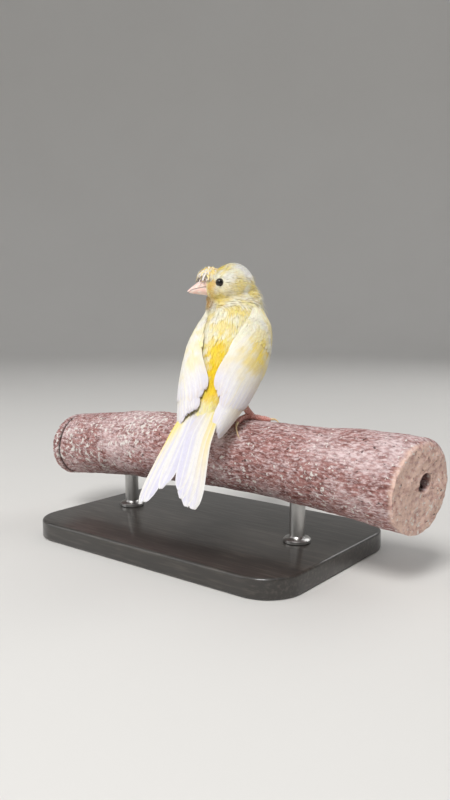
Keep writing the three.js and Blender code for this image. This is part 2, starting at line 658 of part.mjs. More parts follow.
// A smooth piece swollen by the gap along its normals
function grown(piece) {
  const swollen = asGeometry(piece);
  swollen.computeVertexNormals();
  const position = swollen.getAttribute("position");
  const normal = swollen.getAttribute("normal");
  const at = new THREE.Vector3();
  const way = new THREE.Vector3();
  for (let i = 0; i < position.count; i++) {
    at.fromBufferAttribute(position, i).addScaledVector(way.fromBufferAttribute(normal, i), GAP);
    position.setXYZ(i, at.x, at.y, at.z);
  }
  return solid(swollen);
}
function addMesh(group, name, piece, color, roughness = 0.8) {
  const geometry = asGeometry(piece);
  geometry.computeVertexNormals();
  const mesh = new THREE.Mesh(geometry, new THREE.MeshStandardMaterial({ color, roughness, metalness: 0 }));
  mesh.name = name;
  group.add(mesh);
}

const sides = [
  ["left", -1],
  ["right", 1],
];
const trunkGrown = trunk(GAP);
const skullGrown = skull(GAP);
const perchGrown = solid(asGeometry(perchBody(GAP)).applyMatrix4(perchToBird)); // in the bird frame

const part = new THREE.Group();
addMesh(part, "stand_base", standBase(), COLOUR.stand, 0.5);
const onAxis = new THREE.Group();
onAxis.position.set(BIRD_X, 0, PERCH_HEIGHT);
part.add(onAxis);
addMesh(onAxis, "perch", perch(), COLOUR.wood, 0.9);
for (const [word, side] of sides)
  addMesh(onAxis, "stand_rod_" + word, standRod((side * ROD.spacing) / 2), COLOUR.stand, 0.4);

const bird = new THREE.Group();
bird.position.set(0, 0, perchTop);
bird.rotation.z = rad(BIRD_YAW);
onAxis.add(bird);

const sockets = sides.map(([, side]) => eyeBall(side, GAP));
const bill = billCone().subtract(skullGrown);
const flesh = cutAll(join([trunk(), skull(), ...sides.map(([, side]) => lids(side))]), ...sockets);
addMesh(bird, "torso", largest(flesh.intersect(halfSpace(NECK_CUT, false, GAP / 2))), COLOUR.plumage);
const aboveTrunk = flesh.intersect(halfSpace(NECK_CUT, true, GAP / 2));
addMesh(bird, "neck", largest(aboveTrunk.intersect(halfSpace(HEAD_CUT, false, GAP / 2))), COLOUR.plumage);
addMesh(bird, "head", largest(flesh.intersect(halfSpace(HEAD_CUT, true, GAP / 2))), COLOUR.plumage);
addMesh(bird, "bill_upper", largest(bill.intersect(mouthSpace(true)).subtract(nostrils())), COLOUR.bill, 0.4);
addMesh(bird, "bill_lower", largest(bill.intersect(mouthSpace(false))), COLOUR.bill, 0.4);
addMesh(bird, "crest", largest(cutAll(crest(), skullGrown, grown(billCone()), ...sockets)), COLOUR.plumage);
for (const [word, side] of sides) {
  addMesh(bird, "eye_" + word, eyeBall(side), COLOUR.eye, 0.1);
  const folded = cutAll(wing(side), trunkGrown, tailRoot(GAP), grown(thigh(side)), perchGrown);
  addMesh(bird, "wing_" + word, largest(folded), COLOUR.white);
  const trousers = cutAll(thigh(side), trunkGrown, perchGrown);
  addMesh(bird, "thigh_" + word, largest(trousers), COLOUR.plumage);
  const toes = foot(side);
  addMesh(bird, "foot_" + word, largest(join(toes).subtract(perchGrown)), COLOUR.leg, 0.6);
  const around = [trunkGrown, grown(thigh(side)), ball(side, GAP), ...toes.slice(1).map(grown)];
  addMesh(bird, "shank_" + word, largest(cutAll(shank(side), ...around)), COLOUR.leg, 0.6);
}
addMesh(bird, "tail", largest(cutAll(tail(), trunkGrown, perchGrown)), COLOUR.white);

export default part;
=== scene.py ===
"""A life-size canary standing across a cut length of branch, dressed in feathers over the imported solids."""
import math

import bmesh
import bpy
import numpy as np
from bpy.props import FloatProperty, FloatVectorProperty, IntProperty, PointerProperty
from mathutils import Matrix, Vector
from mathutils.bvhtree import BVHTree


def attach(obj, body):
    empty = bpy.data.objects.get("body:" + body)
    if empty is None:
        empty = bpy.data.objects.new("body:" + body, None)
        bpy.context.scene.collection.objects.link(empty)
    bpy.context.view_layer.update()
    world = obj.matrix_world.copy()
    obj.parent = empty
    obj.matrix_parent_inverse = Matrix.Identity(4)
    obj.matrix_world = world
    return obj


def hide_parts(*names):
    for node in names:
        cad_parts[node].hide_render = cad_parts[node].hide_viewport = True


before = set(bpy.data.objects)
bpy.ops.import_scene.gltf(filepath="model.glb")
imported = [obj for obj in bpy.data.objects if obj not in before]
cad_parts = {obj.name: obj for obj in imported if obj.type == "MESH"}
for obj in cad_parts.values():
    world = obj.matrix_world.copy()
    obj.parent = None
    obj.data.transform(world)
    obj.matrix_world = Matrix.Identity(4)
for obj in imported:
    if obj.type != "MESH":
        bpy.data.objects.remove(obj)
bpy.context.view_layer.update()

bl_info = {
    "name": "Canary on a branch",
    "version": (1, 0, 0),
    "blender": (4, 5, 0),
    "location": "View3D > Sidebar > Canary",
    "description": "Feathers, bill, legs, branch and stand of a perched canary",
    "category": "Object",
}

MM = 0.001
PIECE_TRIANGLES = 185_000
TURN_ROUND = 2 * math.pi
MAP_PATCH = 0.003  # a feather's patch on the skin's map
PIECE_GAP = 0.0003  # between the stand's pieces, in metres

# Millimetres from here on. The bird's frame has its origin on top of the branch, +Y the way the body
# faces and +X its right side. The branch's frame has its axis along X, with z 0 at the bird.
BIRD_X = 11
PERCH_HEIGHT = 45
BIRD_YAW = math.radians(18)

# Trunk from the tail root to inside the head: y, z, half width, half depth, lean to the right
TRUNK = [
    (-27, 1.5, 4.2, 2.8, -1.6),
    (-20, 6.5, 9, 6.2, -1.2),
    (-11, 12.8, 14, 10.6, -0.9),
    (-2, 21, 16.8, 14.6, -0.3),
    (6, 31.5, 17.6, 17.4, 0.4),
    (11.5, 42, 15.9, 17.2, 1.3),
    (13.5, 51, 14.1, 14.4, 0.3),
    (12.5, 57.5, 12.9, 12, -0.5),
    (10, 62.5, 9, 8.6, -1),
    (8, 65.5, 4, 3.6, -2),
]
SIDES = (("left", -1), ("right", 1))

# Head frame: origin in the middle of the brain case, +Y along the bill
HEAD_AT = (-2.2, 9.6, 62)
HEAD_TURN, HEAD_NOD = math.radians(110), math.radians(-3)
# Skull with its feathers from the nape to the bill: y, z, half width, half height
SKULL = [
    (-11.8, -0.6, 2, 2.2),
    (-10.6, -0.3, 5, 5.4),
    (-7, 0.2, 8.4, 9),
    (-2, 0.3, 10, 10.3),
    (3, -0.3, 9.6, 9.4),
    (7.5, -0.6, 7.4, 7),
    (9.3, -0.1, 5.9, 5.6),
    (10.5, 0.2, 4.1, 4.5),
]
BILL = {"y": 9.2, "z": -0.2, "length": 10.4, "drop": math.radians(8), "high": 4.8, "wide": 3.7}
EYE = {"radius": 2.3, "y": 3.6, "z": 1.3, "sunk": 1.7, "ball": 0.87, "rim": 1.28, "bare": 1.65}
# The head with its feathers, as an ellipsoid in the head's frame
HEAD_REACH = (12, 14.5, 12)
MOUTH_GAP = 0.3

# Sheath that the folded wings lie on, from the shoulder tailwards, in the trunk's terms
SHEATH = [
    (13.2, 50, 12.8, 15.4, 1.4),
    (10.8, 41, 16, 17.7, 1.6),
    (4, 30, 18.5, 17.4, 0.4),
    (-5, 19, 18, 14.6, -0.4),
    (-14, 9.5, 15.8, 11, -0.9),
    (-23, 1, 12.4, 8.4, -1.2),
    (-30, -5.5, 9, 6.6, -1.5),
]
# The folded wing's edges in degrees from the back's midline, from the shoulder to the tip
WING_BACK_EDGE = [60, 46, 36, 23, 14, 17, 30, 46]
WING_BELLY_EDGE = [84, 106, 112, 111, 108, 103, 98, 92]
# Each folded wing: its share of the sheath's length, the degrees that its tip hangs lower and that its back
# edge lies further in, how far its inner feathers reach, and how much shorter the inner ones at its tip are
WING = {
    -1: {"reach": 0.985, "droop": 2, "close": 24, "inner": 1.05, "round": 0.08},
    1: {"reach": 1.0, "droop": 9, "close": 0, "inner": 1.0, "round": 0.0},
}
WING_CORE = {"reach": 0.84, "rise": 1.2, "sink": 1.2}

TAIL = {"y": -17, "z": 10.5, "pitch": math.radians(36), "root": 4, "spread": 4, "sway": -2.6, "width": 6.4}
# The tail's lobes: how far out their outermost and innermost tips lie, the length of the longest feather
# and how much shorter the innermost is, their height, how far they stand apart at the root, and where each
# feather lies between the outermost at 0 and the innermost at 1
TAIL_LOBES = (
    {
        "side": -1, "outer": 12.4, "inner": 4, "length": 62.4, "short": 9.5, "raise": 0, "apart": 1.4,
        "places": (0, 0.3, 0.36, 0.88, 0.94, 1),
    },
    {
        "side": 1, "outer": 11.2, "inner": 3.4, "length": 63.4, "short": 8, "raise": 0.35, "apart": 2.4,
        "places": (0, 0.06, 0.36, 0.42, 0.72, 1),
    },
)
CREST_AT = (8, 5.2)

PERCH = {"left": -107, "right": 103, "rim": 5.5}
PERCH_RADIUS = [16.9, 16.7, 17, 17, 16.8, 17.2, 19.2, 19.8]
PERCH_SAG = {"left": 7.5, "right": 2.8}
PERCH_GROOVE = {"inset": 5.45, "width": 1.5, "depth": 1.3}
PERCH_HOLE = {"radius": 4.2, "depth": 6, "y": 0.8, "z": 1.8}
PERCH_CUT = {"inset": 3.4, "turn": math.radians(13), "dip": math.radians(8)}

# Knots in the branch: distance along it, angle round it from the top, size and height
BRANCH_KNOTS = [
    (-40, 70, 4.5, 0.7),
    (-70, 110, 4.0, 0.5),
    (34, 78, 5.0, 0.8),
    (52, 112, 3.6, 0.7),
    (74, 70, 4.2, 0.6),
    (-60, -80, 4.6, 0.6),
    (25, -100, 4.0, 0.6),
    (68, 200, 4.4, 0.7),
]

LEG = {"foot_x": 13.6, "foot_y": 1.05, "foot_stagger": -2.45}
HEEL = {"x": 8.8, "y": -9, "z": 12.2, "stagger": -0.8}
TOE = {"radius": 1.12, "front": 11.5, "hind": 11.5, "claw": 4.2, "hind_claw": 9, "curl": 0.029}
# The front toes: degrees that each turns out from straight ahead, and its length against the longest
FRONT_TOES = ((-28, 0.82), (8, 1), (66, 0.8))
HIND_TURN = 199
SHANK_RADII = [1.75, 1.5, 1.45, 1.5]
# A toe's radii along it, thicker at its pads, and its middle line: share of its length and height in radii
TOE_RADII = [1.45, 1.25, 1.38, 1.15, 1.3, 1.1, 0.78]
TOE_LINE = ((0.14, 1.15), (0.33, 1.05), (0.5, 1.05), (0.66, 1.0), (0.84, 0.98), (1, 0.95))
CLAW_RADII = [0.6, 0.54, 0.42, 0.26, 0.08]
CLAW_LINE = ((0.25, 1.5), (0.5, 1.55), (0.8, 1.0))

# A rod's foot, in metres: out from the collar's radius and up from the base, then the same for the post
COLLAR_LINE = ((0, 0), (0, 0.0012), (-0.0006, 0.0018))
POST_LINE = ((0.0005, 0.0022), (0, 0.0028))

# The stage, in metres: the floor's reach, the curve up to the backdrop and its height. Each light has the
# setting that gives its power, its share of that, its size and its place.
FLOOR_REACH, COVE_RADIUS, WALL_HEIGHT = 1.7, 1, 3.2
LIGHTS = (
    ("key", "key", 1, 0.45, (0.3, -0.8, 1.0)),
    ("fill", "fill", 1, 0.9, (-0.75, -0.75, 0.5)),
    ("rim", "fill", 0.8, 0.6, (0.2, 0.9, 0.8)),
)
LIT_POINT = (0, 0, 0.09)

# The camera that the fit to the branch's two ends gave, in metres
CAMERA_AT = (0.222076, -0.270165, 0.109623)
CAMERA_AZIMUTH, CAMERA_PITCH = math.radians(38), math.radians(-6.6)
CAMERA_LENS = 32.85

# Where some feathers stand off the skin: middle and reach in the bird's frame, and their share of all there
RUFFLED_NAPE = ((12.5, 11, 58.5), (4.5, 7, 6), 0.34)
RUFFLED_CROWN = ((10.5, 10.5, 65.5), (4, 5, 5), 0.12)
SKIN_VOXEL, SKIN_SMOOTHING = 0.8, 6
# Pitch of the barbs in millimetres, strength of their relief, and sheen
FEATHER_LOOKS = {"Body feathers": (0.26, 0.4, 0.35), "Flight feathers": (0.42, 0.4, 0.2)}


# Numbers and lines


def linear(code):
    """A colour written as a web code, in linear light."""
    parts = [int(code[i : i + 2], 16) / 255 for i in (1, 3, 5)]
    return tuple(p / 12.92 if p <= 0.04045 else ((p + 0.055) / 1.055) ** 2.4 for p in parts)


def smooth(x, low, high):
    x = np.clip((np.asarray(x, float) - low) / (high - low), 0, 1)
    return x * x * (3 - 2 * x)


def lerp(a, b, t):
    return a + (b - a) * t


def tint(colours, tone, amount):
    """The colours drawn towards a tone, by an amount at each place."""
    return lerp(colours, tone, amount[..., None])


def blob(points, middle, reach, power=4):
    """1 in the middle of an ellipsoid, fading to 0 outside it."""
    return np.exp(-(size_of((points - middle) / reach) ** power))


def size_of(v):
    return np.linalg.norm(v, axis=-1)


def unit(v):
    return v / np.maximum(size_of(v), 1e-9)[..., None]


def joined(*parts):
    """Separate numbers for each axis, joined in one array."""
    return np.stack(np.broadcast_arrays(*parts), -1)


def along(rows, t):
    """The rows read at share t along them, through every row and smooth between them."""
    rows = np.asarray(rows, float)
    rows = rows if rows.ndim > 1 else rows[:, None]
    last = len(rows) - 1
    place = np.clip(np.asarray(t, float), 0, 1) * last
    i = np.minimum(np.floor(place).astype(int), last - 1)
    f = (place - i)[..., None]
    p, q, r, s = (rows[np.clip(i + k, 0, last)] for k in (-1, 0, 1, 2))
    a, b = (r - p) / 2, (s - q) / 2
    return (2 * q - 2 * r + a + b) * f**3 + (3 * r - 3 * q - 2 * a - b) * f * f + a * f + q


def ring_point(rows, t, angle, out=1.0, grow=0.0):
    """A point on the ellipse round the line at share t; angle 0 is the side that up points to."""
    y, z, wide, deep, shift = np.moveaxis(along(rows, t), -1, 0)
    step = along(rows, t + 0.01) - along(rows, t - 0.01)
    length = np.hypot(step[..., 0], step[..., 1])
    rise = (deep + grow) * np.cos(angle) * out
    across = shift + (wide + grow) * np.sin(angle) * out
    return joined(across, y - step[..., 1] / length * rise, z + step[..., 0] / length * rise)


def ripple(points, size, seed):
    """A smooth uneven value between about -1 and 1, with lumps about the given size across."""
    rng = np.random.default_rng(seed)
    ways = unit(rng.normal(size=(8, 3))) * (TURN_ROUND / size) * rng.uniform(0.35, 1.0, (8, 1))
    return np.sin(points @ ways.T + rng.uniform(0, TURN_ROUND, 8)).sum(-1) / 3.2


def rotation(axis, angle):
    return np.array(Matrix.Rotation(angle, 3, axis))


# Frames


def perch_sag(x):
    """How far the branch's middle line lies below its height at the bird."""
    return np.where(
        x < 0, -PERCH_SAG["left"] * (x / PERCH["left"]) ** 2, -PERCH_SAG["right"] * (x / PERCH["right"]) ** 2
    )


def sag_at(x):
    return float(perch_sag(np.float64(x)))


def perch_radius(x):
    """The branch's radius, rounded off at its right end."""
    radius = along(PERCH_RADIUS, (x - PERCH["left"]) / (PERCH["right"] - PERCH["left"]))[..., 0]
    inward = 1 - np.clip(PERCH["right"] - x, 0, PERCH["rim"]) / PERCH["rim"]
    return radius - PERCH["rim"] * (1 - np.sqrt(1 - inward**2))


PERCH_TOP = float(perch_radius(np.float64(0.0)))
YAW = rotation("Z", BIRD_YAW)
HEAD_FRAME = rotation("Z", HEAD_TURN) @ rotation("X", HEAD_NOD)
BILL_FRAME = HEAD_FRAME @ rotation("X", -BILL["drop"])
TAIL_FRAME = rotation("X", math.pi + TAIL["pitch"])


def eye_offset():
    """How far the eye's middle lies from the head's midline, sunk below the skull's side."""
    y, z, wide, high = np.moveaxis(along(SKULL, np.linspace(0, 1, 400)), -1, 0)
    at = np.argmin(np.abs(y - EYE["y"]))
    return wide[at] * math.sqrt(1 - ((EYE["z"] - z[at]) / high[at]) ** 2) - EYE["sunk"]


EYE_X = eye_offset()


def in_head(points):
    return points @ HEAD_FRAME.T + HEAD_AT


def out_of_head(points):
    return (points - np.array(HEAD_AT)) @ HEAD_FRAME


def in_bill(points):
    return points @ BILL_FRAME.T + in_head(np.array([0, BILL["y"], BILL["z"]]))


def on_tail(x, distance, lift):
    """A point of the tail in the bird's frame, from its place across, along and over it."""
    return joined(x, distance, -lift) @ TAIL_FRAME.T + (0, TAIL["y"], TAIL["z"])


def bird_to_part(points):
    return (points @ YAW.T + (BIRD_X, 0, PERCH_HEIGHT + PERCH_TOP)) * MM


def perch_to_bird(points):
    return (points - (0, 0, PERCH_TOP)) @ YAW


def perch_to_part(points):
    return (points + (BIRD_X, 0, PERCH_HEIGHT)) * MM


# Meshes


def mesh_from_arrays(name, points, faces):
    mesh = bpy.data.meshes.new(name)
    mesh.vertices.add(len(points))
    mesh.vertices.foreach_set("co", np.ascontiguousarray(points, np.float32).ravel())
    mesh.loops.add(faces.size)
    mesh.loops.foreach_set("vertex_index", np.ascontiguousarray(faces, np.int32).ravel())
    mesh.polygons.add(len(faces))
    mesh.polygons.foreach_set("loop_start", np.arange(len(faces), dtype=np.int32) * faces.shape[1])
    mesh.update(calc_edges=True)
    return mesh


def facing_out(points, faces):
    """The faces, turned so that the closed surfaces they make have their fronts outside."""
    a, b, c = (points[faces[:, k]] for k in (0, 1, 2))
    middle = points.mean(0)
    volume = np.einsum("ij,ij->i", a - middle, np.cross(b - middle, c - middle)).sum()
    if faces.shape[1] == 4:
        d = points[faces[:, 3]]
        volume += np.einsum("ij,ij->i", a - middle, np.cross(c - middle, d - middle)).sum()
    return faces if volume > 0 else faces[:, ::-1]


def sharpen_rims(mesh, parts):
    """Marks the vanes' rims sharp, so that each face keeps its own smooth shading."""
    edges = np.empty(len(mesh.edges) * 2, np.int32)
    mesh.edges.foreach_get("vertices", edges)
    on_rim = np.concatenate([np.tile(np.abs(form["h"]) < 0.5, len(points)) for points, form, *_ in parts])
    rims = on_rim[edges.reshape(-1, 2)].all(1)
    mesh.attributes.new("sharp_edge", "BOOLEAN", "EDGE").data.foreach_set("value", rims)


def paint(mesh, colours):
    """Colours for each vertex, which the feathers' finishes read."""
    layer = mesh.color_attributes.new("Plumage", "FLOAT_COLOR", "POINT")
    layer.data.foreach_set("color", np.c_[colours, np.ones(len(colours))].astype(np.float32).ravel())


def map_corners(mesh, name, places):
    """A UV map from one place for each corner, or for each vertex."""
    if len(places) == len(mesh.vertices):
        corner = np.empty(len(mesh.loops), np.int32)
        mesh.loops.foreach_get("vertex_index", corner)
        places = places[corner]
    layer = mesh.uv_layers.new(name=name)
    layer.data.foreach_set("uv", np.ascontiguousarray(places, np.float32).ravel())


def show(name, mesh, finish, replaced=(), shade=True):
    """Puts a finished mesh in the scene as a piece that rides on the body."""
    if shade:
        mesh.polygons.foreach_set("use_smooth", np.ones(len(mesh.polygons), bool))
    mesh.materials.append(finish)
    piece = bpy.data.objects.new(name, mesh)
    bpy.context.scene.collection.objects.link(piece)
    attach(piece, "root")
    if replaced:
        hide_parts(*replaced)
    return piece


def coords(verts):
    return np.array([v.co[:] for v in verts])


def as_is(points):
    return points


def put(verts, points):
    for v, p in zip(verts, points):
        v.co = p


def grid(bm, x_count, y_count, size=1):
    """A flat grid in bm: its vertices and their places."""
    made = bmesh.ops.create_grid(bm, x_segments=x_count, y_segments=y_count, size=size)["verts"]
    return made, coords(made)


def tube(bm, sides, rings, place):
    """A closed tube in bm: place(t, angle, out) gives points, with out 0 on the axis at both ends."""
    made, co = grid(bm, rings + 2, sides, 0.5)
    row = np.rint((co[:, 0] + 0.5) * (rings + 2))
    out = np.where((row < 0.5) | (row > rings + 1.5), 0.0, 1.0)
    t = np.clip((row - 1) / rings, 0, 1)
    put(made, place(t, (co[:, 1] + 0.5) * TURN_ROUND, out))
    bmesh.ops.remove_doubles(bm, verts=made, dist=1e-5)


def finished(bm, name, to_part=bird_to_part):
    """The bmesh as a mesh in place, with its faces turned outwards."""
    put(bm.verts, to_part(coords(bm.verts)))
    bmesh.ops.recalc_face_normals(bm, faces=bm.faces)
    mesh = bpy.data.meshes.new(name)
    bm.to_mesh(mesh)
    bm.free()
    return mesh


def show_bmesh(name, bm, finish, replaced=(), to_part=bird_to_part):
    """Puts a closed bmesh in the scene as a piece."""
    return show(name, finished(bm, name, to_part), finish, replaced)


def bevelled(bm, edges, width, segments):
    bmesh.ops.bevel(
        bm, geom=edges, offset=width, segments=segments, profile=0.5, affect="EDGES", material=-1
    )


def turned(outline, x, steps):
    """A bmesh of the outline, in radii and heights, turned round the upright line at x."""
    bm = bmesh.new()
    verts = [bm.verts.new((x + r, 0, z)) for r, z in outline]
    edges = [bm.edges.new(pair) for pair in zip(verts, verts[1:])]
    bmesh.ops.spin(
        bm, geom=verts + edges, cent=(x, 0, 0), axis=(0, 0, 1), angle=TURN_ROUND, steps=steps, use_merge=True
    )
    bmesh.ops.remove_doubles(bm, verts=bm.verts, dist=1e-7)
    return bm


def vane_form(rows, cols, shaft=False):
    """One closed vane: share along it, share across it, which face, its column and its quads."""
    bm = bmesh.new()
    grid(bm, cols, rows)
    for v in bm.verts:
        v.co.z = 0 if v.is_boundary else 1
    copy = bmesh.ops.duplicate(bm, geom=bm.verts[:] + bm.edges[:] + bm.faces[:])["geom"]
    under = [g for g in copy if isinstance(g, bmesh.types.BMFace)]
    for g in copy:
        if isinstance(g, bmesh.types.BMVert):
            g.co.z *= -1
    bmesh.ops.reverse_faces(bm, faces=under)
    bmesh.ops.remove_doubles(bm, verts=bm.verts, dist=1e-4)
    bm.verts.index_update()
    co = coords(bm.verts)
    faces = np.array([[v.index for v in f.verts] for f in bm.faces])
    bm.free()
    col = np.rint((co[:, 0] + 1) / 2 * cols).astype(int)
    across = co[:, 0]
    if shaft:  # the middle columns stand close together on either side of the shaft
        across = np.sign(co[:, 0]) * np.abs(co[:, 0]) ** 1.35
    return {"s": (co[:, 1] + 1) / 2, "v": across, "h": co[:, 2], "col": col, "cols": cols, "faces": faces}


def repeat_faces(form, count):
    step = len(form["s"])
    return (form["faces"][None] + (np.arange(count) * step)[:, None, None]).reshape(-1, 4)


# Colours of the plumage


def palette():
    looks = bpy.context.scene.canary_looks
    return {name: np.array(getattr(looks, name)) for name in looks.__annotations__}


# Marks on the body: middle and reach in the bird's frame, colour, strength, and white frosting of the tips
BODY_MARKS = [
    ((0, 22, 40), (15, 13, 17), "pale_yellow", 0.75, 0.5),
    ((0, 12, 20), (14, 12, 9), "cream", 0.7, 0.5),
    ((5.5, -1.5, 50.5), (5, 3.5, 2.6), "yellow", 0.55, 0.4),
    ((3, -6.5, 43), (7, 4, 3.2), "yellow", 0.6, 0.3),
    ((12, 2, 49), (3.2, 5, 4), "yellow", 0.5, 0.4),
    ((4, -10.5, 35), (7, 5, 4.5), "yellow", 0.75, 0.2),
    ((-7.5, -2.5, 46), (3, 5, 4), "yellow", 0.3, 0.5),
    ((0.6, -13, 29), (4.5, 5.5, 8), "gold", 0.8, 0.0),
    ((2.6, -17, 20.5), (7, 8, 11), "gold", 1.0, 0.0),
    ((1, -22, 14), (8, 4.5, 5), "gold", 0.85, 0.05),
    ((1.4, -27, 6.6), (7, 4.4, 5), "pale_yellow", 0.7, 0.9),
]
# Marks on the head in the head's frame, alike on both sides
HEAD_MARKS = [
    # The nape: yellow with strong white frosting, partly the feathers' own frosted tips and partly a painted
    # highlight for the bright backlit rim
    ((0, -12, -2), (9, 4.5, 8), "yellow", 0.7, 0.75),
    ((8, -5, -1.5), (4, 3.2, 5.5), "olive", 0.7, 0.3),
    ((9, 0.4, -4), (4.4, 4.2, 4.2), "cheek", 0.75, 0.5),
    ((6.5, 4.2, -7), (4.2, 3, 3.4), "yellow", 0.6, 0.3),
    ((1.5, 3.5, 8.2), (6.5, 4.5, 3.6), "yellow", 0.9, 0.1),
    ((0, -7, 8.2), (5.2, 5, 3.6), "white", 1.0, 0.2),
    ((3.4, -9.8, 5.2), (4, 3.4, 3.4), "white", 0.9, 0.3),
    ((9.2, -1.6, 3.2), (2.2, 2.8, 2.2), "white", 0.55, 0.9),
    ((6.8, 8.2, 0.2), (2.4, 2.4, 3.6), "orange", 0.75, 0.1),
    ((0, 8.5, -7), (5.5, 4, 4.2), "orange", 0.55, 0.5),
    ((0, 8, 5), (5, 4, 3), "orange", 0.9, 0.15),
]
# Marks on the folded wings in the bird's frame
WING_MARKS = [
    ((16.7, -8.9, 25.6), (4, 4.5, 4.5), "yellow", 0.95, 0.2),
    ((18, -3, 32), (3.4, 6.5, 5.5), "yellow", 0.95, 0.3),
    ((17.8, 10.4, 43.3), (4, 4.5, 7), "yellow", 0.6, 0.3),
    ((12.6, -11, 29), (2.6, 3.6, 4), "yellow", 0.5, 0.2),
    ((-7, -12, 35), (5, 4.5, 6), "yellow", 0.42, 0.35),
    ((-9, -14, 26), (4, 5, 4), "pale_yellow", 0.7, 0.3),
    ((-17, 9, 42), (4, 5, 7), "pale_yellow", 0.7, 0.3),
]


def apply_marks(colours, frost, points, marks, tones, seed):
    """The colours and frosting with soft marks laid over them, whose outlines are uneven."""
    uneven = 0.3 * ripple(points, 3.2, seed) + 0.16 * ripple(points, 1.3, seed + 1)
    for middle, reach, name, strength, white in marks:
        distance = size_of((points - middle) / reach) + uneven
        weight = strength / (1 + np.exp((distance - 1) * 7))
        colours = tint(colours, tones[name], weight)
        frost = lerp(frost, white, weight)
    return colours, frost


def plumage_colours(points, tones, on_wing=False):
    """The colour of the plumage at points in the bird's frame, and how frosted its tips are."""
    colours = np.repeat(tones["cream"][None], len(points), 0)
    mottle = smooth(ripple(points, 7.5, 11) + 0.4 * ripple(points, 3, 12), 0.0, 1.0)
    colours = tint(colours, tones["yellow"], (0.42 if on_wing else 0.5) * mottle)
    pale = smooth(ripple(points, 6, 13), 0.3, 1.1)
    colours = tint(colours, tones["white"], 0.6 * pale)
    frost = np.full(len(points), 0.28)
    if on_wing:
        return apply_marks(colours, frost, points, WING_MARKS, tones, 21)
    colours, frost = apply_marks(colours, frost, points, BODY_MARKS, tones, 31)
    local = out_of_head(points)
    local[:, 0] = np.abs(local[:, 0])
    near = smooth(size_of(local / (13, 17, 14)), 1.35, 1.0)
    marked, white = apply_marks(colours, frost, local, HEAD_MARKS, tones, 41)
    return tint(colours, marked, near), lerp(frost, white, near)


# Skin


def spine_share(points):
    """Share along the trunk's line, angle round it and the line's direction, at points beside it."""
    t = np.linspace(0, 1, 121)
    rows = along(TRUNK, t)
    gap = (points[:, None, 1] - rows[None, :, 0]) ** 2 + (points[:, None, 2] - rows[None, :, 1]) ** 2
    best = t[np.argmin(gap, 1)]
    row = along(TRUNK, best)
    step = unit((along(TRUNK, best + 0.01) - along(TRUNK, best - 0.01))[:, :2])
    up = (points[:, 1] - row[:, 0]) * -step[:, 1] + (points[:, 2] - row[:, 1]) * step[:, 0]
    way = np.c_[np.zeros(len(points)), step]
    return best, np.arctan2(points[:, 0] - row[:, 4], up), way


ISLANDS = {  # corners of each part's field on the skin's unwrap
    "body": (0.02, 0.02, 0.5, 0.98),
    "head": (0.54, 0.02, 0.98, 0.66),
    "thigh_left": (0.54, 0.7, 0.98, 0.82),
    "thigh_right": (0.54, 0.86, 0.98, 0.98),
}


def in_island(name, turn, share):
    left, low, right, high = ISLANDS[name]
    return joined(lerp(left, right, turn), lerp(low, high, share))


def skin_place(points, regions, near=None):
    """Places on the unwrap. Near holds a turn for each point, which the point's own turn is kept beside."""
    share, angle, _ = spine_share(points)
    local = out_of_head(points)
    head_angle = np.arctan2(local[:, 0], local[:, 2])
    legs = {}
    for word, side in SIDES:
        base, heel = leg_ends(side)
        axis = unit(heel - base)
        spread = points - base
        legs[word] = (
            np.arctan2(spread[:, 0], spread @ np.cross(axis, (1, 0, 0))),
            np.clip(spread @ axis / np.linalg.norm(heel - base), 0, 1),
        )
    left, right = legs["left"], legs["right"]
    parts = [regions == 1, regions == 2, regions == 3]
    turns = np.select(parts, [head_angle, left[0], right[0]], angle) / TURN_ROUND + 0.5
    if near is not None:
        turns = turns - np.rint(turns - near)
    shares = np.select(parts, [(local[:, 1] + 13) / 27, left[1], right[1]], share)
    places = np.empty((len(points), 2))
    for k, name in enumerate(ISLANDS):
        chosen = regions == k
        places[chosen] = in_island(name, np.clip(turns[chosen], 0, 1), np.clip(shares[chosen], 0, 1))
    return places, turns


def leg_ends(side):
    """The ankle and the heel."""
    heel = np.array([side * HEEL["x"], HEEL["y"] + side * HEEL["stagger"], HEEL["z"]])
    return ankle_point(side), heel


def skin_regions(points):
    """0 on the body, 1 on the head, 2 and 3 on the left and right thigh."""
    local = out_of_head(points)
    head = (size_of(local / (12, 14, 12.5)) < 1.0) & (points[:, 2] > 54)
    regions = np.where(head, 1, 0)
    for _, side in SIDES:
        base, heel = leg_ends(side)
        axis = unit(heel - base)
        reach = (points - base) @ axis
        off = size_of(points - base - reach[:, None] * axis)
        on_leg = (off < 5) & (points[:, 2] < 13) & (np.abs(points[:, 0]) > 5)
        regions = np.where(on_leg, 2 if side < 0 else 3, regions)
    return regions


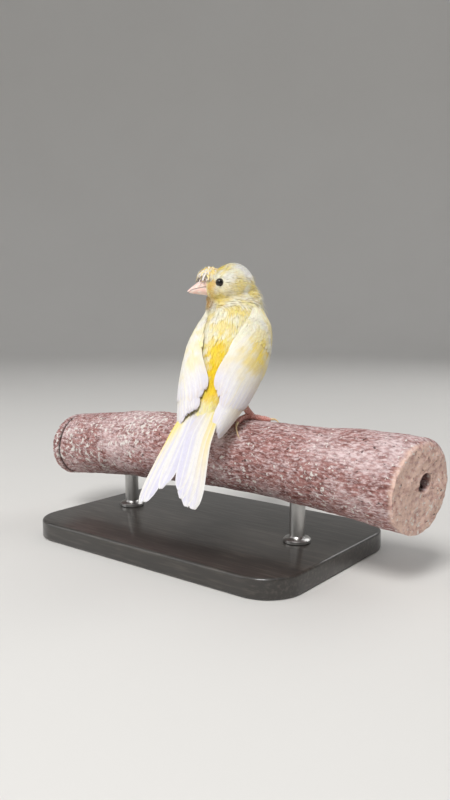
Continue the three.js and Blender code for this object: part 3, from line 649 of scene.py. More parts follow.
def build_skin(depth):
    """One closed skin for trunk, neck, head and thighs, lying inside the coat. Returns points and faces."""
    bm = bmesh.new()
    tube(bm, 72, 80, lambda t, a, out: ring_point(TRUNK, t, a, out, -depth.body))

    def skull(t, angle, out):
        y, z, wide, high = np.moveaxis(along(SKULL, t), -1, 0)
        deep = lerp(depth.head, depth.face, smooth(y, 2, 8))
        x, up = (wide - deep) * np.sin(angle) * out, z + (high - deep) * np.cos(angle) * out
        return in_head(joined(x, y - deep * out, up))

    tube(bm, 64, 60, skull)
    for _, side in SIDES:
        base, heel = leg_ends(side)

        def thigh(t, angle, out, base=base, heel=heel):
            axis = unit(heel - base)
            across = unit(np.cross(axis, (1, 0, 0)))
            thick = along([1.4, 2.6, 3.9, 4.4], t)[:, 0] - depth.thigh * smooth(t, 0, 0.4)
            centre = base + np.outer(lerp(0.4, 1.0, t), heel - base)
            wheel = np.outer(np.cos(angle), across) + np.outer(np.sin(angle), np.cross(across, axis))
            return centre + wheel * (thick * out)[:, None]

        tube(bm, 36, 24, thigh)
    bmesh.ops.recalc_face_normals(bm, faces=bm.faces)
    rough = bpy.data.meshes.new("skin_rough")
    bm.to_mesh(rough)
    bm.free()
    holder = bpy.data.objects.new("skin_rough", rough)
    bpy.context.scene.collection.objects.link(holder)
    remesh = holder.modifiers.new("Remesh", "REMESH")
    remesh.mode, remesh.voxel_size = "VOXEL", SKIN_VOXEL
    even = holder.modifiers.new("Smooth", "SMOOTH")
    even.factor, even.iterations = 0.5, SKIN_SMOOTHING
    made = bpy.data.meshes.new_from_object(holder.evaluated_get(bpy.context.evaluated_depsgraph_get()))
    bpy.data.objects.remove(holder)
    points = np.empty(len(made.vertices) * 3)
    made.vertices.foreach_get("co", points)
    faces = np.array([p.vertices[:] for p in made.polygons if len(p.vertices) == 4])
    bpy.data.meshes.remove(made)
    return points.reshape(-1, 3), faces


# Coat


def lie_of(points, normals):
    """The way that the feathers lie at points on the skin."""
    _, _, way = spine_share(points)
    local = out_of_head(points)
    back = HEAD_FRAME @ (0, -1, -0.12)
    reach = size_of(local / (12.5, 15, 12.5))
    on_head = smooth(reach, 1.25, 0.85)[:, None]
    lie = lerp(-way, back[None], on_head)
    for _, side in SIDES:  # they part round each eye, and round the crest
        eye = in_head(np.array([side * (EYE_X + 1), EYE["y"], EYE["z"]]))
        off = points - eye
        near = np.exp(-((size_of(off) / 2.6) ** 2))[:, None]
        lie = lie + 1.1 * near * unit(off)
    off = points - in_head(np.array([0, *CREST_AT]))
    near = np.exp(-((size_of(off) / 3.4) ** 2))[:, None]
    lie = lie + 1.3 * near * unit(off)
    lie = lie + 0.16 * np.stack([ripple(points, 9, 50 + k) for k in range(3)], -1)
    lie -= normals * np.einsum("ij,ij->i", lie, normals)[:, None]
    return unit(lie)


def coat_sizes(points, coat):
    """Length, width and spacing of the feathers at points on the skin."""
    local = out_of_head(points)
    body = smooth(size_of(local / HEAD_REACH), 0.95, 1.7)
    face = smooth(local[:, 1], 3.5, 8.5) * (1 - body)
    rump = smooth(points[:, 1], -10, -20) * smooth(points[:, 2], 2, 8)
    length = lerp(coat.head_length, coat.body_length, body) * lerp(1, 0.52, face) * lerp(1, 1.2, rump)
    width = lerp(coat.head_width, coat.body_width, body) * lerp(1, 0.62, face)
    spacing = lerp(coat.head_spacing, coat.body_spacing, body) * lerp(1, 0.66, face)
    leg = (np.abs(points[:, 0]) > 5) & (points[:, 2] < 11.5) & (points[:, 1] > -13) & (points[:, 1] < 3)
    on_leg = zip((length, width, spacing), (0.5, 0.55, 0.62))
    return tuple(np.where(leg, size * share, size) for size, share in on_leg)


def scatter(points, faces, coat, rng):
    """Feather roots spread over the skin, no closer than the spacing at their place."""
    a, b, c, d = (points[faces[:, k]] for k in range(4))
    normal = np.cross(c - a, d - b)
    area = size_of(normal) / 2
    _, _, spacing = coat_sizes(points[faces].mean(1), coat)
    weight = area / spacing**2
    count = int(weight.sum() * 2.6)
    chosen = rng.choice(len(faces), count, p=weight / weight.sum())
    i, j = rng.random((2, count, 1))
    roots = lerp(lerp(a[chosen], b[chosen], i), lerp(d[chosen], c[chosen], i), j)
    _, _, gap = coat_sizes(roots, coat)
    cell = float(gap.max())
    taken, kept = {}, []
    keys = np.floor(roots / cell).astype(int).tolist()
    flat = roots.tolist()
    gaps = gap.tolist()
    near = [(x, y, z) for x in (-1, 0, 1) for y in (-1, 0, 1) for z in (-1, 0, 1)]
    for k, (key, p, g) in enumerate(zip(keys, flat, gaps)):
        limit = g * g
        clear = True
        for o in near:
            for q in taken.get((key[0] + o[0], key[1] + o[1], key[2] + o[2]), ()):
                if (p[0] - q[0]) ** 2 + (p[1] - q[1]) ** 2 + (p[2] - q[2]) ** 2 < limit:
                    clear = False
                    break
            if not clear:
                break
        if clear:
            taken.setdefault(tuple(key), []).append(p)
            kept.append(k)
    return roots[kept]


def nearest(tree, points):
    found = [tree.find_nearest(Vector(p)) for p in points]
    return np.array([f[0][:] for f in found]), np.array([f[1][:] for f in found])


def plumes(form, roots, normals, ways, lengths, widths, lifts, tree, rng, fray=0.3, camber=0.06):
    """Feathers that follow the skin from their roots: points for each, and their share along and across."""
    count = len(roots)
    tips, tip_normals = nearest(tree, roots + ways * lengths[:, None])
    mids, mid_normals = nearest(tree, roots + ways * lengths[:, None] * 0.5)
    start = roots - normals * 0.25
    end = tips + tip_normals * lifts[:, None]
    half = mids + mid_normals * (lifts * 0.82)[:, None]
    bend = 2 * half - (start + end) / 2
    jag = rng.uniform(0, fray, (count, form["cols"] + 1))
    jag[:, 0] += fray * 0.6
    jag[:, -1] += fray * 0.6
    s = form["s"][None] * (1 - jag[:, form["col"]] * smooth(form["s"], 0.35, 1.0)[None])
    s = s[..., None]
    v = form["v"][None, :, None]
    centre = (1 - s) ** 2 * start[:, None] + 2 * s * (1 - s) * bend[:, None] + s * s * end[:, None]
    run = unit(2 * (1 - s) * (bend - start)[:, None] + 2 * s * (end - bend)[:, None])
    out = lerp(normals[:, None], tip_normals[:, None], s)
    across = unit(np.cross(run, out))
    out = np.cross(across, run)
    share = s[..., 0]
    shape = np.minimum(1, 0.5 + 1.5 * share) * (1 - 0.78 * smooth(share, 0.45, 1.0))
    twist = rng.normal(0, 0.06, (count, 1, 1))
    wide = (widths[:, None] / 2 * shape)[..., None]
    thick = np.minimum(0.07, 0.05 * widths)[:, None, None]
    lift = (1 - v * v) * camber * wide + form["h"][None, :, None] * thick
    points = centre + across * v * wide + out * (lift + twist * v * wide)
    return points, share, np.broadcast_to(form["v"][None], share.shape)


def tuft_places(roots_uv, share, across):
    """A small patch of the skin's map for each feather, at its root's place."""
    offset = joined(across * MAP_PATCH / 2, (share - 0.5) * MAP_PATCH)
    return (roots_uv[:, None] + offset).reshape(-1, 2)


def plume_colours(base, frost, share, across, tones, rng):
    """Colours along each feather: deeper at its root, frosted at its tip, and no two quite alike."""
    count = len(base)
    own = base * rng.normal(1, 0.045, (count, 1)) * (1 + rng.normal(0, 0.012, (count, 3)))
    amount = frost * rng.uniform(0.2, 1.25, count)
    tip = smooth(share, 0.45, 0.95) * np.clip(amount, 0, 1)[:, None]
    edge = smooth(np.abs(across), 0.5, 1.0) * 0.25 * np.clip(amount, 0, 1)[:, None]
    colours = own[:, None] * lerp(0.95, 1.03, smooth(share, 0.0, 0.6))[..., None]
    colours = tint(colours, tones["white"], np.clip(tip + edge, 0, 1))
    return np.clip(colours, 0.0, 0.95).reshape(-1, 3)


def barb_places(share, across, lengths, widths, rng):
    """The vane's own map in millimetres, started at a different place on each feather."""
    start = rng.uniform(0, 40, (len(lengths), 1, 2))
    return (joined(across * widths[:, None] / 2, share * lengths[:, None]) + start).reshape(-1, 2)


def vane_piece(name, parts, finish, replaced=()):
    """Sets of vanes as one piece. Each set has its points, form, colours and places on both maps."""
    start, faces = 0, []
    for points, form, *_ in parts:
        faces.append(repeat_faces(form, len(points)) + start)
        start += points.shape[0] * points.shape[1]
    flat = np.concatenate([p[0].reshape(-1, 3) for p in parts])
    colours, bake, barbs = (np.concatenate([p[k] for p in parts]) for k in (2, 3, 4))
    mesh = mesh_from_arrays(name, bird_to_part(flat), facing_out(flat, np.concatenate(faces)))
    sharpen_rims(mesh, parts)
    paint(mesh, colours)
    map_corners(mesh, "OFBake", bake)
    map_corners(mesh, "Barbs", barbs)
    show(name, mesh, finish, replaced)


def soft_piece(name, vanes, form, base, frost, roots_uv, sizes, tones, rng, replaced=()):
    """Soft feathers as one piece. Vanes are their points, share and across; sizes are lengths and widths."""
    points, share, across = vanes
    colours = plume_colours(base, frost, share, across, tones, rng)
    bake = tuft_places(roots_uv, share, across)
    barbs = barb_places(share, across, *sizes, rng)
    vane_piece(name, [(points, form, colours, bake, barbs)], feathers("Body feathers"), replaced)


# Wings


def wing_point(side, t, degrees, height):
    """A point over the sheath, in degrees from the back's midline."""
    turned = side * (degrees + WING[side]["droop"] * t * t)
    return ring_point(SHEATH, t, np.radians(180 - turned), 1.0, height)


def wing_across(side, u, place):
    """Degrees from the back's midline at a place from -1 on the back edge to 1 on the belly edge."""
    back = along(WING_BACK_EDGE, u)[..., 0] - WING[side]["close"] * smooth(u, 0.45, 0.85)
    return lerp(back, along(WING_BELLY_EDGE, u)[..., 0], (place + 1) / 2)


def wing_thin(u):
    """How thin the folded wing is at share u, against its shoulder."""
    return 1 - 0.7 * u


def wing_top(u, place):
    """Height of the folded wing over its sheath. Its back edge comes down on the rump."""
    down = lerp(0.5, 1.2, smooth(u, 0.5, 0.85)) * smooth(place, -0.2, -1.1)
    return WING_CORE["rise"] * wing_thin(u) * (1 - 0.7 * np.minimum(1, np.abs(place)) ** 4) - down


def notches(form, count, depth, rng):
    """Uneven ends, a little different in each column of each vane."""
    return rng.uniform(0, depth, (count, form["cols"] + 1))[:, form["col"]]


def vane_outline(s):
    """Width of a long feather along it, with a rounded tip."""
    return np.minimum(1, 0.55 + 1.4 * s) * np.sqrt(1 - 0.97 * np.clip((s - 0.76) / 0.24, 0, 1) ** 2)


def wing_vanes(side, form, root, tip, width, lift, layer, rng, fray=0.05):
    """Vanes on the folded wing from places [share along, place across] at their roots and tips."""
    count = len(root)
    s, v, h = (form[k][None] for k in ("s", "v", "h"))
    s = s * (1 - notches(form, count, fray, rng) * smooth(s, 0.5, 1.0))
    u = lerp(root[:, None, 0], tip[:, None, 0], s)
    middle = lerp(root[:, None, 1], tip[:, None, 1], s)
    bow = 0.1 * np.sin(math.pi * s)
    across = v * (width[:, None] * vane_outline(s)) / 2
    t = u * WING[side]["reach"]
    ring = np.maximum(along(SHEATH, t)[..., 2], 5)
    degrees = wing_across(side, u, middle + bow * 0.3) + np.degrees(across / ring)
    thin = wing_thin(u * 0.6)
    rise = lerp(lift[:, None, 0], lift[:, None, 1], s) * thin
    thick = lerp(0.2, 0.14, s) * h
    shaft = 0.1 * np.exp(-((v / 0.09) ** 2)) * (1 - 0.6 * s) * (np.abs(h) > 0)
    back, belly = wing_across(side, u, -1), wing_across(side, u, 1)
    here = 2 * (degrees - back) / (belly - back) - 1
    top = wing_top(u, here) + rise + layer[:, None] + 0.1 * v + 0.28 * (1 - v * v) * width[:, None] / 7
    points = wing_point(side, t, degrees, top + thick + shaft * np.sign(h))
    return points, s * np.ones_like(v), v * np.ones_like(s)


# Rows of wing feathers: how many, roots and tips of the first and the last as share along and place across,
# width, lift at root and tip, how much each lies over the next (below 0: over the one before), and kind
WING_ROWS = {
    "primaries": (
        9, ((0.42, 0.1), (0.36, 0.88)), ((0.93, -0.86), (1.0, 0.3)), 6.4, (-0.5, 0.05), 0.07, "flight",
    ),
    "secondaries": (
        7, ((0.3, -0.3), (0.32, 0.6)), ((0.82, -0.6), (0.74, 0.66)), 6.6, (-0.4, 0.42), 0.06, "flight",
    ),
    "tertials": (
        3, ((0.28, -0.74), (0.32, -0.2)), ((0.7, -0.9), (0.79, -0.62)), 7.8, (-0.1, 0.8), -0.1, "tertial",
    ),
    "alula": (
        3, ((0.14, 0.72), (0.12, 0.9)), ((0.36, 0.74), (0.32, 0.93)), 3.4, (-0.3, 0.3), 0.03, "covert",
    ),
    "primary_coverts": (
        6, ((0.2, 0.66), (0.18, 0.95)), ((0.5, 0.62), (0.42, 0.95)), 3.8, (-0.3, 0.4), 0.05, "covert",
    ),
    "greater_coverts": (
        13, ((0.2, 0.7), (0.2, -0.7)), ((0.47, 0.6), (0.45, -0.74)), 3.2, (-0.4, 0.4), -0.02, "covert",
    ),
    "median_coverts": (
        15, ((0.11, 0.66), (0.12, -0.66)), ((0.33, 0.62), (0.31, -0.7)), 2.6, (-0.5, 0.35), -0.015, "covert",
    ),
}


WORN_TIPS = {"tertial": 0.5, "flight": 0.3, "covert": 0.0}


def wing_row(side, row, form, rng):
    """The vanes of one row of a wing, with the lengths and widths of its feathers."""
    count, roots, tips, width, lift, layer, _ = row
    f = np.linspace(0, 1, count)[:, None]
    root = lerp(np.array(roots[0]), np.array(roots[1]), f)
    tip = lerp(np.array(tips[0]), np.array(tips[1]), f) + rng.normal(0, 0.006, (count, 2))
    long = tip[:, 0] > 0.9
    tip[:, 0] *= lerp(WING[side]["inner"], 1, np.minimum(1, smooth(tip[:, 1], -0.9, -0.2) + long))
    tip[:, 0] *= 1 - WING[side]["round"] * smooth(tip[:, 1], 0.1, -0.9) * long
    widths = np.full(count, width) * rng.uniform(0.95, 1.05, count)
    lifts = np.repeat(np.array(lift)[None], count, 0)
    layers = layer * (count - 1 - np.arange(count)) if layer > 0 else -layer * np.arange(count)
    points, share, across = wing_vanes(side, form, root, tip, widths, lifts, layers, rng)
    lengths = size_of(points[:, np.argmax(form["s"])] - points[:, np.argmin(form["s"])])
    return points, share, across, lengths, widths


def flight_colours(share, across, tones, style, rng):
    """Colours of wing vanes: white with painted lavender shade over the inner vane, a yellow outer edge, a
    pale shaft and worn tips.
    """
    count, size = share.shape
    base = np.repeat(tones["flight"][None], count, 0) * rng.normal(1, 0.02, (count, 1))
    colours = np.repeat(base[:, None], size, 1)
    streak = ripple(joined(across * 3.1, share * 2.0, np.arange(count)[:, None] * 1.7), 0.8, 61)
    # Painted shade: a cool lavender laid over the inner part of each vane
    colours = tint(colours, tones["lavender"], 0.65 * smooth(across, 0.7, 0.1))
    colours = colours * (1 + 0.025 * streak[..., None])
    edge = smooth(across, 0.72, 0.98) * smooth(share, 0.98, 0.75)
    colours = tint(colours, tones["yellow"], 0.9 * edge)
    dusk = smooth(share, 0.76, 1.0) * smooth(streak, -0.6, 0.5)
    colours = tint(colours, tones["beige"], WORN_TIPS[style] * dusk)
    colours = tint(colours, tones["white"], 0.6 * np.exp(-((across / 0.1) ** 2)))
    return np.clip(colours, 0, 0.93).reshape(-1, 3)


def atlas_places(share, across, columns, first, total):
    """Each large vane's own field on the map: a strip, side by side in rows."""
    index = first + np.arange(len(share))
    rows = math.ceil(total / columns)
    cell = joined(index % columns, index // columns)[:, None].astype(float)
    inner = joined((across + 1) / 2 * 0.86 + 0.07, share * 0.86 + 0.07)
    return ((cell + inner) / (columns, rows)).reshape(-1, 2)


# Legs


def on_perch(x, y, lift):
    """A point on the branch below the bird, y being the way round it, in the bird's frame."""
    radius = perch_radius(x)
    angle = y / (radius + TOE["radius"])
    far = radius + lift
    return perch_to_bird(joined(x, far * np.sin(angle), perch_sag(x) + far * np.cos(angle)))


def ankle_on_perch(side):
    """The ankle's distance along the branch and round it."""
    at = np.array([side * LEG["foot_x"], LEG["foot_y"] + side * LEG["foot_stagger"], 0]) @ YAW.T
    radius = perch_radius(at[0]) + TOE["radius"]
    return at[0], math.asin(at[1] / radius) * radius


def ankle_point(side):
    x, y = ankle_on_perch(side)
    return on_perch(np.float64(x), y, TOE["radius"] * 1.2)


def rope(bm, line, radii, sides, rings, relief=None, face=(0, 0, 1)):
    """A round tube along a smooth line through the points, with its radius read along it."""

    def place(t, angle, out):
        middle = along(line, t)
        run = unit(along(line, t + 0.02) - along(line, t - 0.02))
        across = unit(np.cross(run, np.array(face, float)))
        top = np.cross(across, run)
        radius = along(radii, t)[:, 0]
        if relief is not None:
            radius = radius * relief(t, angle)
        wheel = top * np.cos(angle)[:, None] + across * np.sin(angle)[:, None]
        return middle + wheel * (radius * out)[:, None]

    tube(bm, sides, rings, place)


def scutes(count, depth, wrap=0.2):
    """Overlapping plates on the front of a toe or shank, as a factor on its radius."""

    def relief(t, angle):
        step = (t * count) % 1
        front = smooth(np.cos(angle), -wrap, 0.5)
        plate = smooth(step, 0.0, 0.85) - smooth(step, 0.85, 1.0)
        return 1 + depth * front * plate - 0.02 * np.cos(3 * angle)

    return relief


# Finishes


def node(tree, kind, values=None, **settings):
    made = tree.nodes.new(kind)
    for key, value in settings.items():
        setattr(made, key, value)
    for key, value in (values or {}).items():
        made.inputs[key].default_value = value
    return made


def link(tree, a, b):
    tree.links.new(a, b)


def group(name, inputs, outputs):
    made = bpy.data.node_groups.new(name, "ShaderNodeTree")
    for label, kind, value in inputs:
        socket = made.interface.new_socket(label, in_out="INPUT", socket_type=kind)
        socket.default_value = value
    for label, kind in outputs:
        made.interface.new_socket(label, in_out="OUTPUT", socket_type=kind)
    return made, node(made, "NodeGroupInput"), node(made, "NodeGroupOutput")


def maths(tree, operation, a, b=None):
    made = node(tree, "ShaderNodeMath", operation=operation)
    for socket, value in zip(made.inputs, (a, b)):
        if value is None:
            continue
        if isinstance(value, (int, float)):
            socket.default_value = value
        else:
            link(tree, value, socket)
    return made.outputs[0]


def times(tree, a, b):
    return maths(tree, "MULTIPLY", a, b)


def plus(tree, a, b):
    return maths(tree, "ADD", a, b)


def mix(tree, factor, a, b, blend="MIX"):
    made = node(tree, "ShaderNodeMix", data_type="RGBA", blend_type=blend)
    for socket, value in ((made.inputs[0], factor), (made.inputs[6], a), (made.inputs[7], b)):
        if isinstance(value, (int, float)):
            socket.default_value = value
        elif isinstance(value, tuple):
            socket.default_value = (*value[:3], 1)
        else:
            link(tree, value, socket)
    return made.outputs[2]


def noise(tree, place, scale, detail=3.0, rough=0.55):
    """Noise at a place. Three scales instead of one stretch it along an axis."""
    if isinstance(scale, tuple):
        mapping = node(tree, "ShaderNodeMapping", {"Scale": scale})
        link(tree, place, mapping.inputs["Vector"])
        place, scale = mapping.outputs["Vector"], 1.0
    made = node(tree, "ShaderNodeTexNoise", {"Scale": scale, "Detail": detail, "Roughness": rough})
    link(tree, place, made.inputs["Vector"])
    return made.outputs["Fac"]


def ranged(tree, value, limits, kind):
    made = node(tree, "ShaderNodeMapRange", limits, interpolation_type=kind)
    link(tree, value, made.inputs["Value"])
    return made.outputs["Result"]


def ramp(tree, value, low, high):
    """0 below low, 1 above high and smooth between them."""
    return ranged(tree, value, {"From Min": low, "From Max": high}, "SMOOTHSTEP")


def ramp_between(tree, value, low, high):
    return ranged(tree, value, {"To Min": low, "To Max": high}, "LINEAR")


def object_place(tree):
    return node(tree, "ShaderNodeTexCoord").outputs["Object"]


def attribute(tree, name, output="Fac"):
    return node(tree, "ShaderNodeAttribute", attribute_name=name).outputs[output]


def barb_group():
    """Fine barbs that run out from a feather's shaft at a slant, from the Barbs map in millimetres."""
    outputs = [("Height", "NodeSocketFloat"), ("Fleck", "NodeSocketFloat")]
    made, given, out = group("Feather barbs", [("Pitch", "NodeSocketFloat", 0.32)], outputs)
    place = node(made, "ShaderNodeUVMap", uv_map="Barbs").outputs[0]
    split = node(made, "ShaderNodeSeparateXYZ")
    link(made, place, split.inputs[0])
    side = maths(made, "ABSOLUTE", split.outputs["X"])
    slant = maths(made, "SUBTRACT", split.outputs["Y"], times(made, side, 1.4))
    turns = maths(made, "DIVIDE", times(made, slant, TURN_ROUND), given.outputs["Pitch"])
    wobble = noise(made, place, 1.3, 2.0)
    wave = maths(made, "SINE", plus(made, turns, times(made, wobble, 9.0)))
    streaks = noise(made, place, (2.6, 0.35, 1), 4.0, 0.65)
    link(made, plus(made, times(made, wave, 0.35), times(made, streaks, 1.2)), out.inputs["Height"])
    link(made, ramp(made, streaks, 0.3, 0.72), out.inputs["Fleck"])
    return made


def given_noise(made, given, detail, rough):
    """Noise on Object coordinates, at the scale that the group is given."""
    texture = node(made, "ShaderNodeTexNoise", {"Detail": detail, "Roughness": rough})
    link(made, object_place(made), texture.inputs["Vector"])
    link(made, given.outputs["Scale"], texture.inputs["Scale"])
    return texture.outputs["Fac"]


def drift_group():
    """Slow uneven tone over a surface, on Object coordinates."""
    inputs = [
        ("Color", "NodeSocketColor", (1, 1, 1, 1)),
        ("Scale", "NodeSocketFloat", 60.0),
        ("Amount", "NodeSocketFloat", 0.2),
    ]
    made, given, out = group("Tone drift", inputs, [("Color", "NodeSocketColor")])
    mask = ramp(made, given_noise(made, given, 4.0, 0.6), 0.3, 0.7)
    dark = mix(made, 1.0, given.outputs["Color"], (0.72, 0.7, 0.68), "MULTIPLY")
    amount = times(made, maths(made, "SUBTRACT", 1.0, mask), given.outputs["Amount"])
    link(made, mix(made, amount, given.outputs["Color"], dark), out.inputs["Color"])
    return made


def pore_group():
    """Height of fine pores and creases, on Object coordinates."""
    inputs, outputs = [("Scale", "NodeSocketFloat", 900.0)], [("Height", "NodeSocketFloat")]
    made, given, out = group("Fine pores", inputs, outputs)
    link(made, given_noise(made, given, 5.0, 0.65), out.inputs["Height"])
    return made


GROUPS = {"Feather barbs": barb_group, "Tone drift": drift_group, "Fine pores": pore_group}


def placed(tree, name, values):
    """A shared group, built once, in a material with the material's own values."""
    made = node(tree, "ShaderNodeGroup", node_tree=bpy.data.node_groups.get(name) or GROUPS[name]())
    for key, value in values.items():
        if isinstance(value, bpy.types.NodeSocket):
            link(tree, value, made.inputs[key])
        else:
            made.inputs[key].default_value = value
    return made


def drifted(tree, colour, scale, amount):
    """A colour with slow uneven tone."""
    colour = (*colour, 1.0) if isinstance(colour, tuple) else colour
    return placed(tree, "Tone drift", {"Color": colour, "Scale": scale, "Amount": amount}).outputs["Color"]


def finish_base(name, values):
    """A new material with its Principled shader, whose constants are set on its own sockets."""
    material = bpy.data.materials.new(name)
    material.use_nodes = True
    tree = material.node_tree
    tree.nodes.clear()
    out = node(tree, "ShaderNodeOutputMaterial")
    shader = node(tree, "ShaderNodeBsdfPrincipled", values)
    link(tree, shader.outputs[0], out.inputs["Surface"])
    return material, tree, shader


def dress(tree, shader, colour, rough, height, strength, depth):
    """Links what varies over the surface: its colour, its roughness, if it does, and its relief."""
    link(tree, colour, shader.inputs["Base Color"])
    if rough is not None:
        link(tree, rough, shader.inputs["Roughness"])
    bump = node(tree, "ShaderNodeBump", {"Strength": strength, "Distance": depth})
    link(tree, height, bump.inputs["Height"])
    link(tree, bump.outputs[0], shader.inputs["Normal"])


def once(maker):
    """Makes each material on its first use and gives the same one later."""

    def give(name, *rest):
        return bpy.data.materials.get(name) or maker(name, *rest)

    return give


@once
def feather_finish(name, pitch, strength, sheen):
    """Feathers with fine barbs, flecks and a soft sheen."""
    values = {"Roughness": 0.72, "Sheen Weight": sheen, "Sheen Roughness": 0.5, "Specular IOR Level": 0.25}
    material, tree, shader = finish_base(name, values)
    barbs = placed(tree, "Feather barbs", {"Pitch": pitch})
    tone = drifted(tree, attribute(tree, "Plumage", "Color"), 420.0, 0.12)
    shaded = mix(tree, 1.0, tone, (0.86, 0.84, 0.8), "MULTIPLY")
    fleck = times(tree, maths(tree, "SUBTRACT", 1.0, barbs.outputs["Fleck"]), 0.45)
    rough = ramp_between(tree, barbs.outputs["Fleck"], 0.82, 0.62)
    dress(tree, shader, mix(tree, fleck, tone, shaded), rough, barbs.outputs["Height"], strength, 0.00012)
    return material


def feathers(name):
    return feather_finish(name, *FEATHER_LOOKS[name])


@once
def down_finish(name):
    """The skin under the coat, coloured as the feathers over it."""
    material, tree, shader = finish_base(name, {"Roughness": 0.85, "Sheen Weight": 0.2})
    tone = drifted(tree, attribute(tree, "Plumage", "Color"), 900.0, 0.35)
    pores = placed(tree, "Fine pores", {"Scale": 1600.0})
    dress(tree, shader, tone, None, pores.outputs["Height"], 0.5, 0.0003)
    return material


@once
def horn_finish(name, colour, tip):
    """Satin horn with faint growth lines, paler in streaks."""
    values = {"Roughness": 0.38, "Coat Weight": 0.15, "Subsurface Weight": 0.12}
    values |= {"Subsurface Scale": 0.0012, "Subsurface Radius": (1.0, 0.45, 0.3)}
    material, tree, shader = finish_base(name, values)
    lines = noise(tree, object_place(tree), (300, 900, 900), 4.0)
    base = drifted(tree, mix(tree, ramp(tree, lines, 0.35, 0.7), colour, tip), 500.0, 0.25)
    dress(tree, shader, base, ramp_between(tree, lines, 0.3, 0.5), lines, 0.25, 0.00015)
    return material


@once
def eye_finish(name, colour, iris):
    """A wet dark eye with brown fibres that show only close to."""
    values = {"Roughness": 0.08, "Coat Weight": 0.3, "Coat Roughness": 0.03, "Specular IOR Level": 0.35}
    material, tree, shader = finish_base(name, values)
    fibres = ramp(tree, noise(tree, object_place(tree), 2600.0), 0.4, 0.75)
    link(tree, mix(tree, fibres, colour, iris), shader.inputs["Base Color"])
    return material


@once
def scale_finish(name, colour, deep):
    """Scaly skin, redder in its creases."""
    values = {"Roughness": 0.5, "Coat Weight": 0.1, "Subsurface Weight": 0.15}
    values |= {"Subsurface Scale": 0.0008, "Subsurface Radius": (1.0, 0.35, 0.25)}
    material, tree, shader = finish_base(name, values)
    cells = node(tree, "ShaderNodeTexVoronoi", {"Scale": 1500.0}, feature="DISTANCE_TO_EDGE")
    link(tree, object_place(tree), cells.inputs["Vector"])
    crease = ramp(tree, cells.outputs["Distance"], 0.0, 0.18)
    base = mix(tree, crease, deep, drifted(tree, colour, 350.0, 0.4))
    dress(tree, shader, base, ramp_between(tree, crease, 0.62, 0.44), crease, 0.4, 0.00012)
    return material


@once
def branch_finish(name, looks):
    """Weathered wood: pale and dark specks, scuffs, white spatter and paler sawn ends, with painted shade:
    near black in small pitted spots, and in the groove and the screw hole from the Shade attribute.
    """
    material, tree, shader = finish_base(name, {"Roughness": 0.8, "Specular IOR Level": 0.25})
    wood, dark, pale = tuple(looks.wood), tuple(looks.wood_dark), tuple(looks.wood_pale)
    place = object_place(tree)
    bark = noise(tree, place, (230, 760, 760), 8.0, 0.7)
    specks = noise(tree, place, (420, 1000, 1000), 6.0, 0.68)
    broad = noise(tree, place, (38, 60, 60), 4.0, 0.6)
    spread = times(tree, noise(tree, place, 26.0), 0.4)
    side = mix(tree, ramp(tree, bark, 0.34, 0.64), dark, wood)
    scuffed = ramp(tree, plus(tree, specks, times(tree, broad, 0.3)), 0.57, 0.84)
    side = mix(tree, times(tree, scuffed, 0.9), side, pale)
    side = mix(tree, times(tree, ramp(tree, broad, 0.46, 0.66), 0.3), side, pale)
    face = mix(tree, ramp(tree, noise(tree, place, 420.0, 6.0, 0.65), 0.25, 0.6), wood, tuple(looks.wood_end))
    face = mix(tree, times(tree, ramp(tree, specks, 0.5, 0.68), 0.6), face, pale)
    base = mix(tree, attribute(tree, "End"), side, face)
    # Painted shade: small pitted spots go near black, and are also dented in the relief
    shaded_pits = ramp(tree, noise(tree, place, (330, 520, 520), 4.0, 0.6), 0.64, 0.69)
    base = mix(tree, times(tree, shaded_pits, 0.85), base, (0.045, 0.02, 0.017))
    spots = ramp(tree, plus(tree, noise(tree, place, 520.0), spread), 0.8, 0.85)
    splash = ramp(tree, plus(tree, noise(tree, place, 190.0, 6.0, 0.7), spread), 0.84, 0.88)
    white = times(tree, maths(tree, "MAXIMUM", spots, splash), 0.8)
    base = mix(tree, white, base, tuple(looks.spatter))
    # Painted shade: near black in the groove and the screw hole, wherever the Shade attribute is set
    base = mix(tree, attribute(tree, "Shade"), base, (0.02, 0.014, 0.012))
    height = plus(tree, bark, times(tree, specks, 0.6))
    height = maths(tree, "SUBTRACT", height, times(tree, shaded_pits, 0.5))
    height = plus(tree, height, times(tree, white, 0.4))
    dress(tree, shader, base, ramp_between(tree, bark, 0.92, 0.7), height, 0.8, 0.0007)
    return material


@once
def lacquer_finish(name, colour):
    """Dark lacquer with faint grain along it."""
    values = {"Roughness": 0.32, "Coat Weight": 0.4, "Coat Roughness": 0.12}
    material, tree, shader = finish_base(name, values)
    grain = noise(tree, object_place(tree), (60, 700, 700), 5.0)
    streaks = times(tree, ramp(tree, grain, 0.45, 0.75), 0.35)
    base = mix(tree, streaks, drifted(tree, colour, 30.0, 0.5), (0.14, 0.12, 0.1))
    dress(tree, shader, base, ramp_between(tree, grain, 0.4, 0.26), grain, 0.12, 0.0002)
    return material


@once
def steel_finish(name, colour):
    """Steel brushed round its axis."""
    material, tree, shader = finish_base(name, {"Metallic": 1.0, "Roughness": 0.3})
    lines = noise(tree, object_place(tree), (60, 60, 9000))
    base = drifted(tree, colour, 140.0, 0.3)
    dress(tree, shader, base, ramp_between(tree, lines, 0.22, 0.42), lines, 0.15, 0.00008)
    return material


@once
def stage_finish(name, colour):
    material, tree, shader = finish_base(name, {"Roughness": 0.9})
    link(tree, drifted(tree, colour, 3.0, 0.06), shader.inputs["Base Color"])
    return material


# Settings


def colour_setting(name, text, code):
    limits = {"size": 3, "min": 0, "max": 1}
    return FloatVectorProperty(name=name, description=text, subtype="COLOR", default=linear(code), **limits)


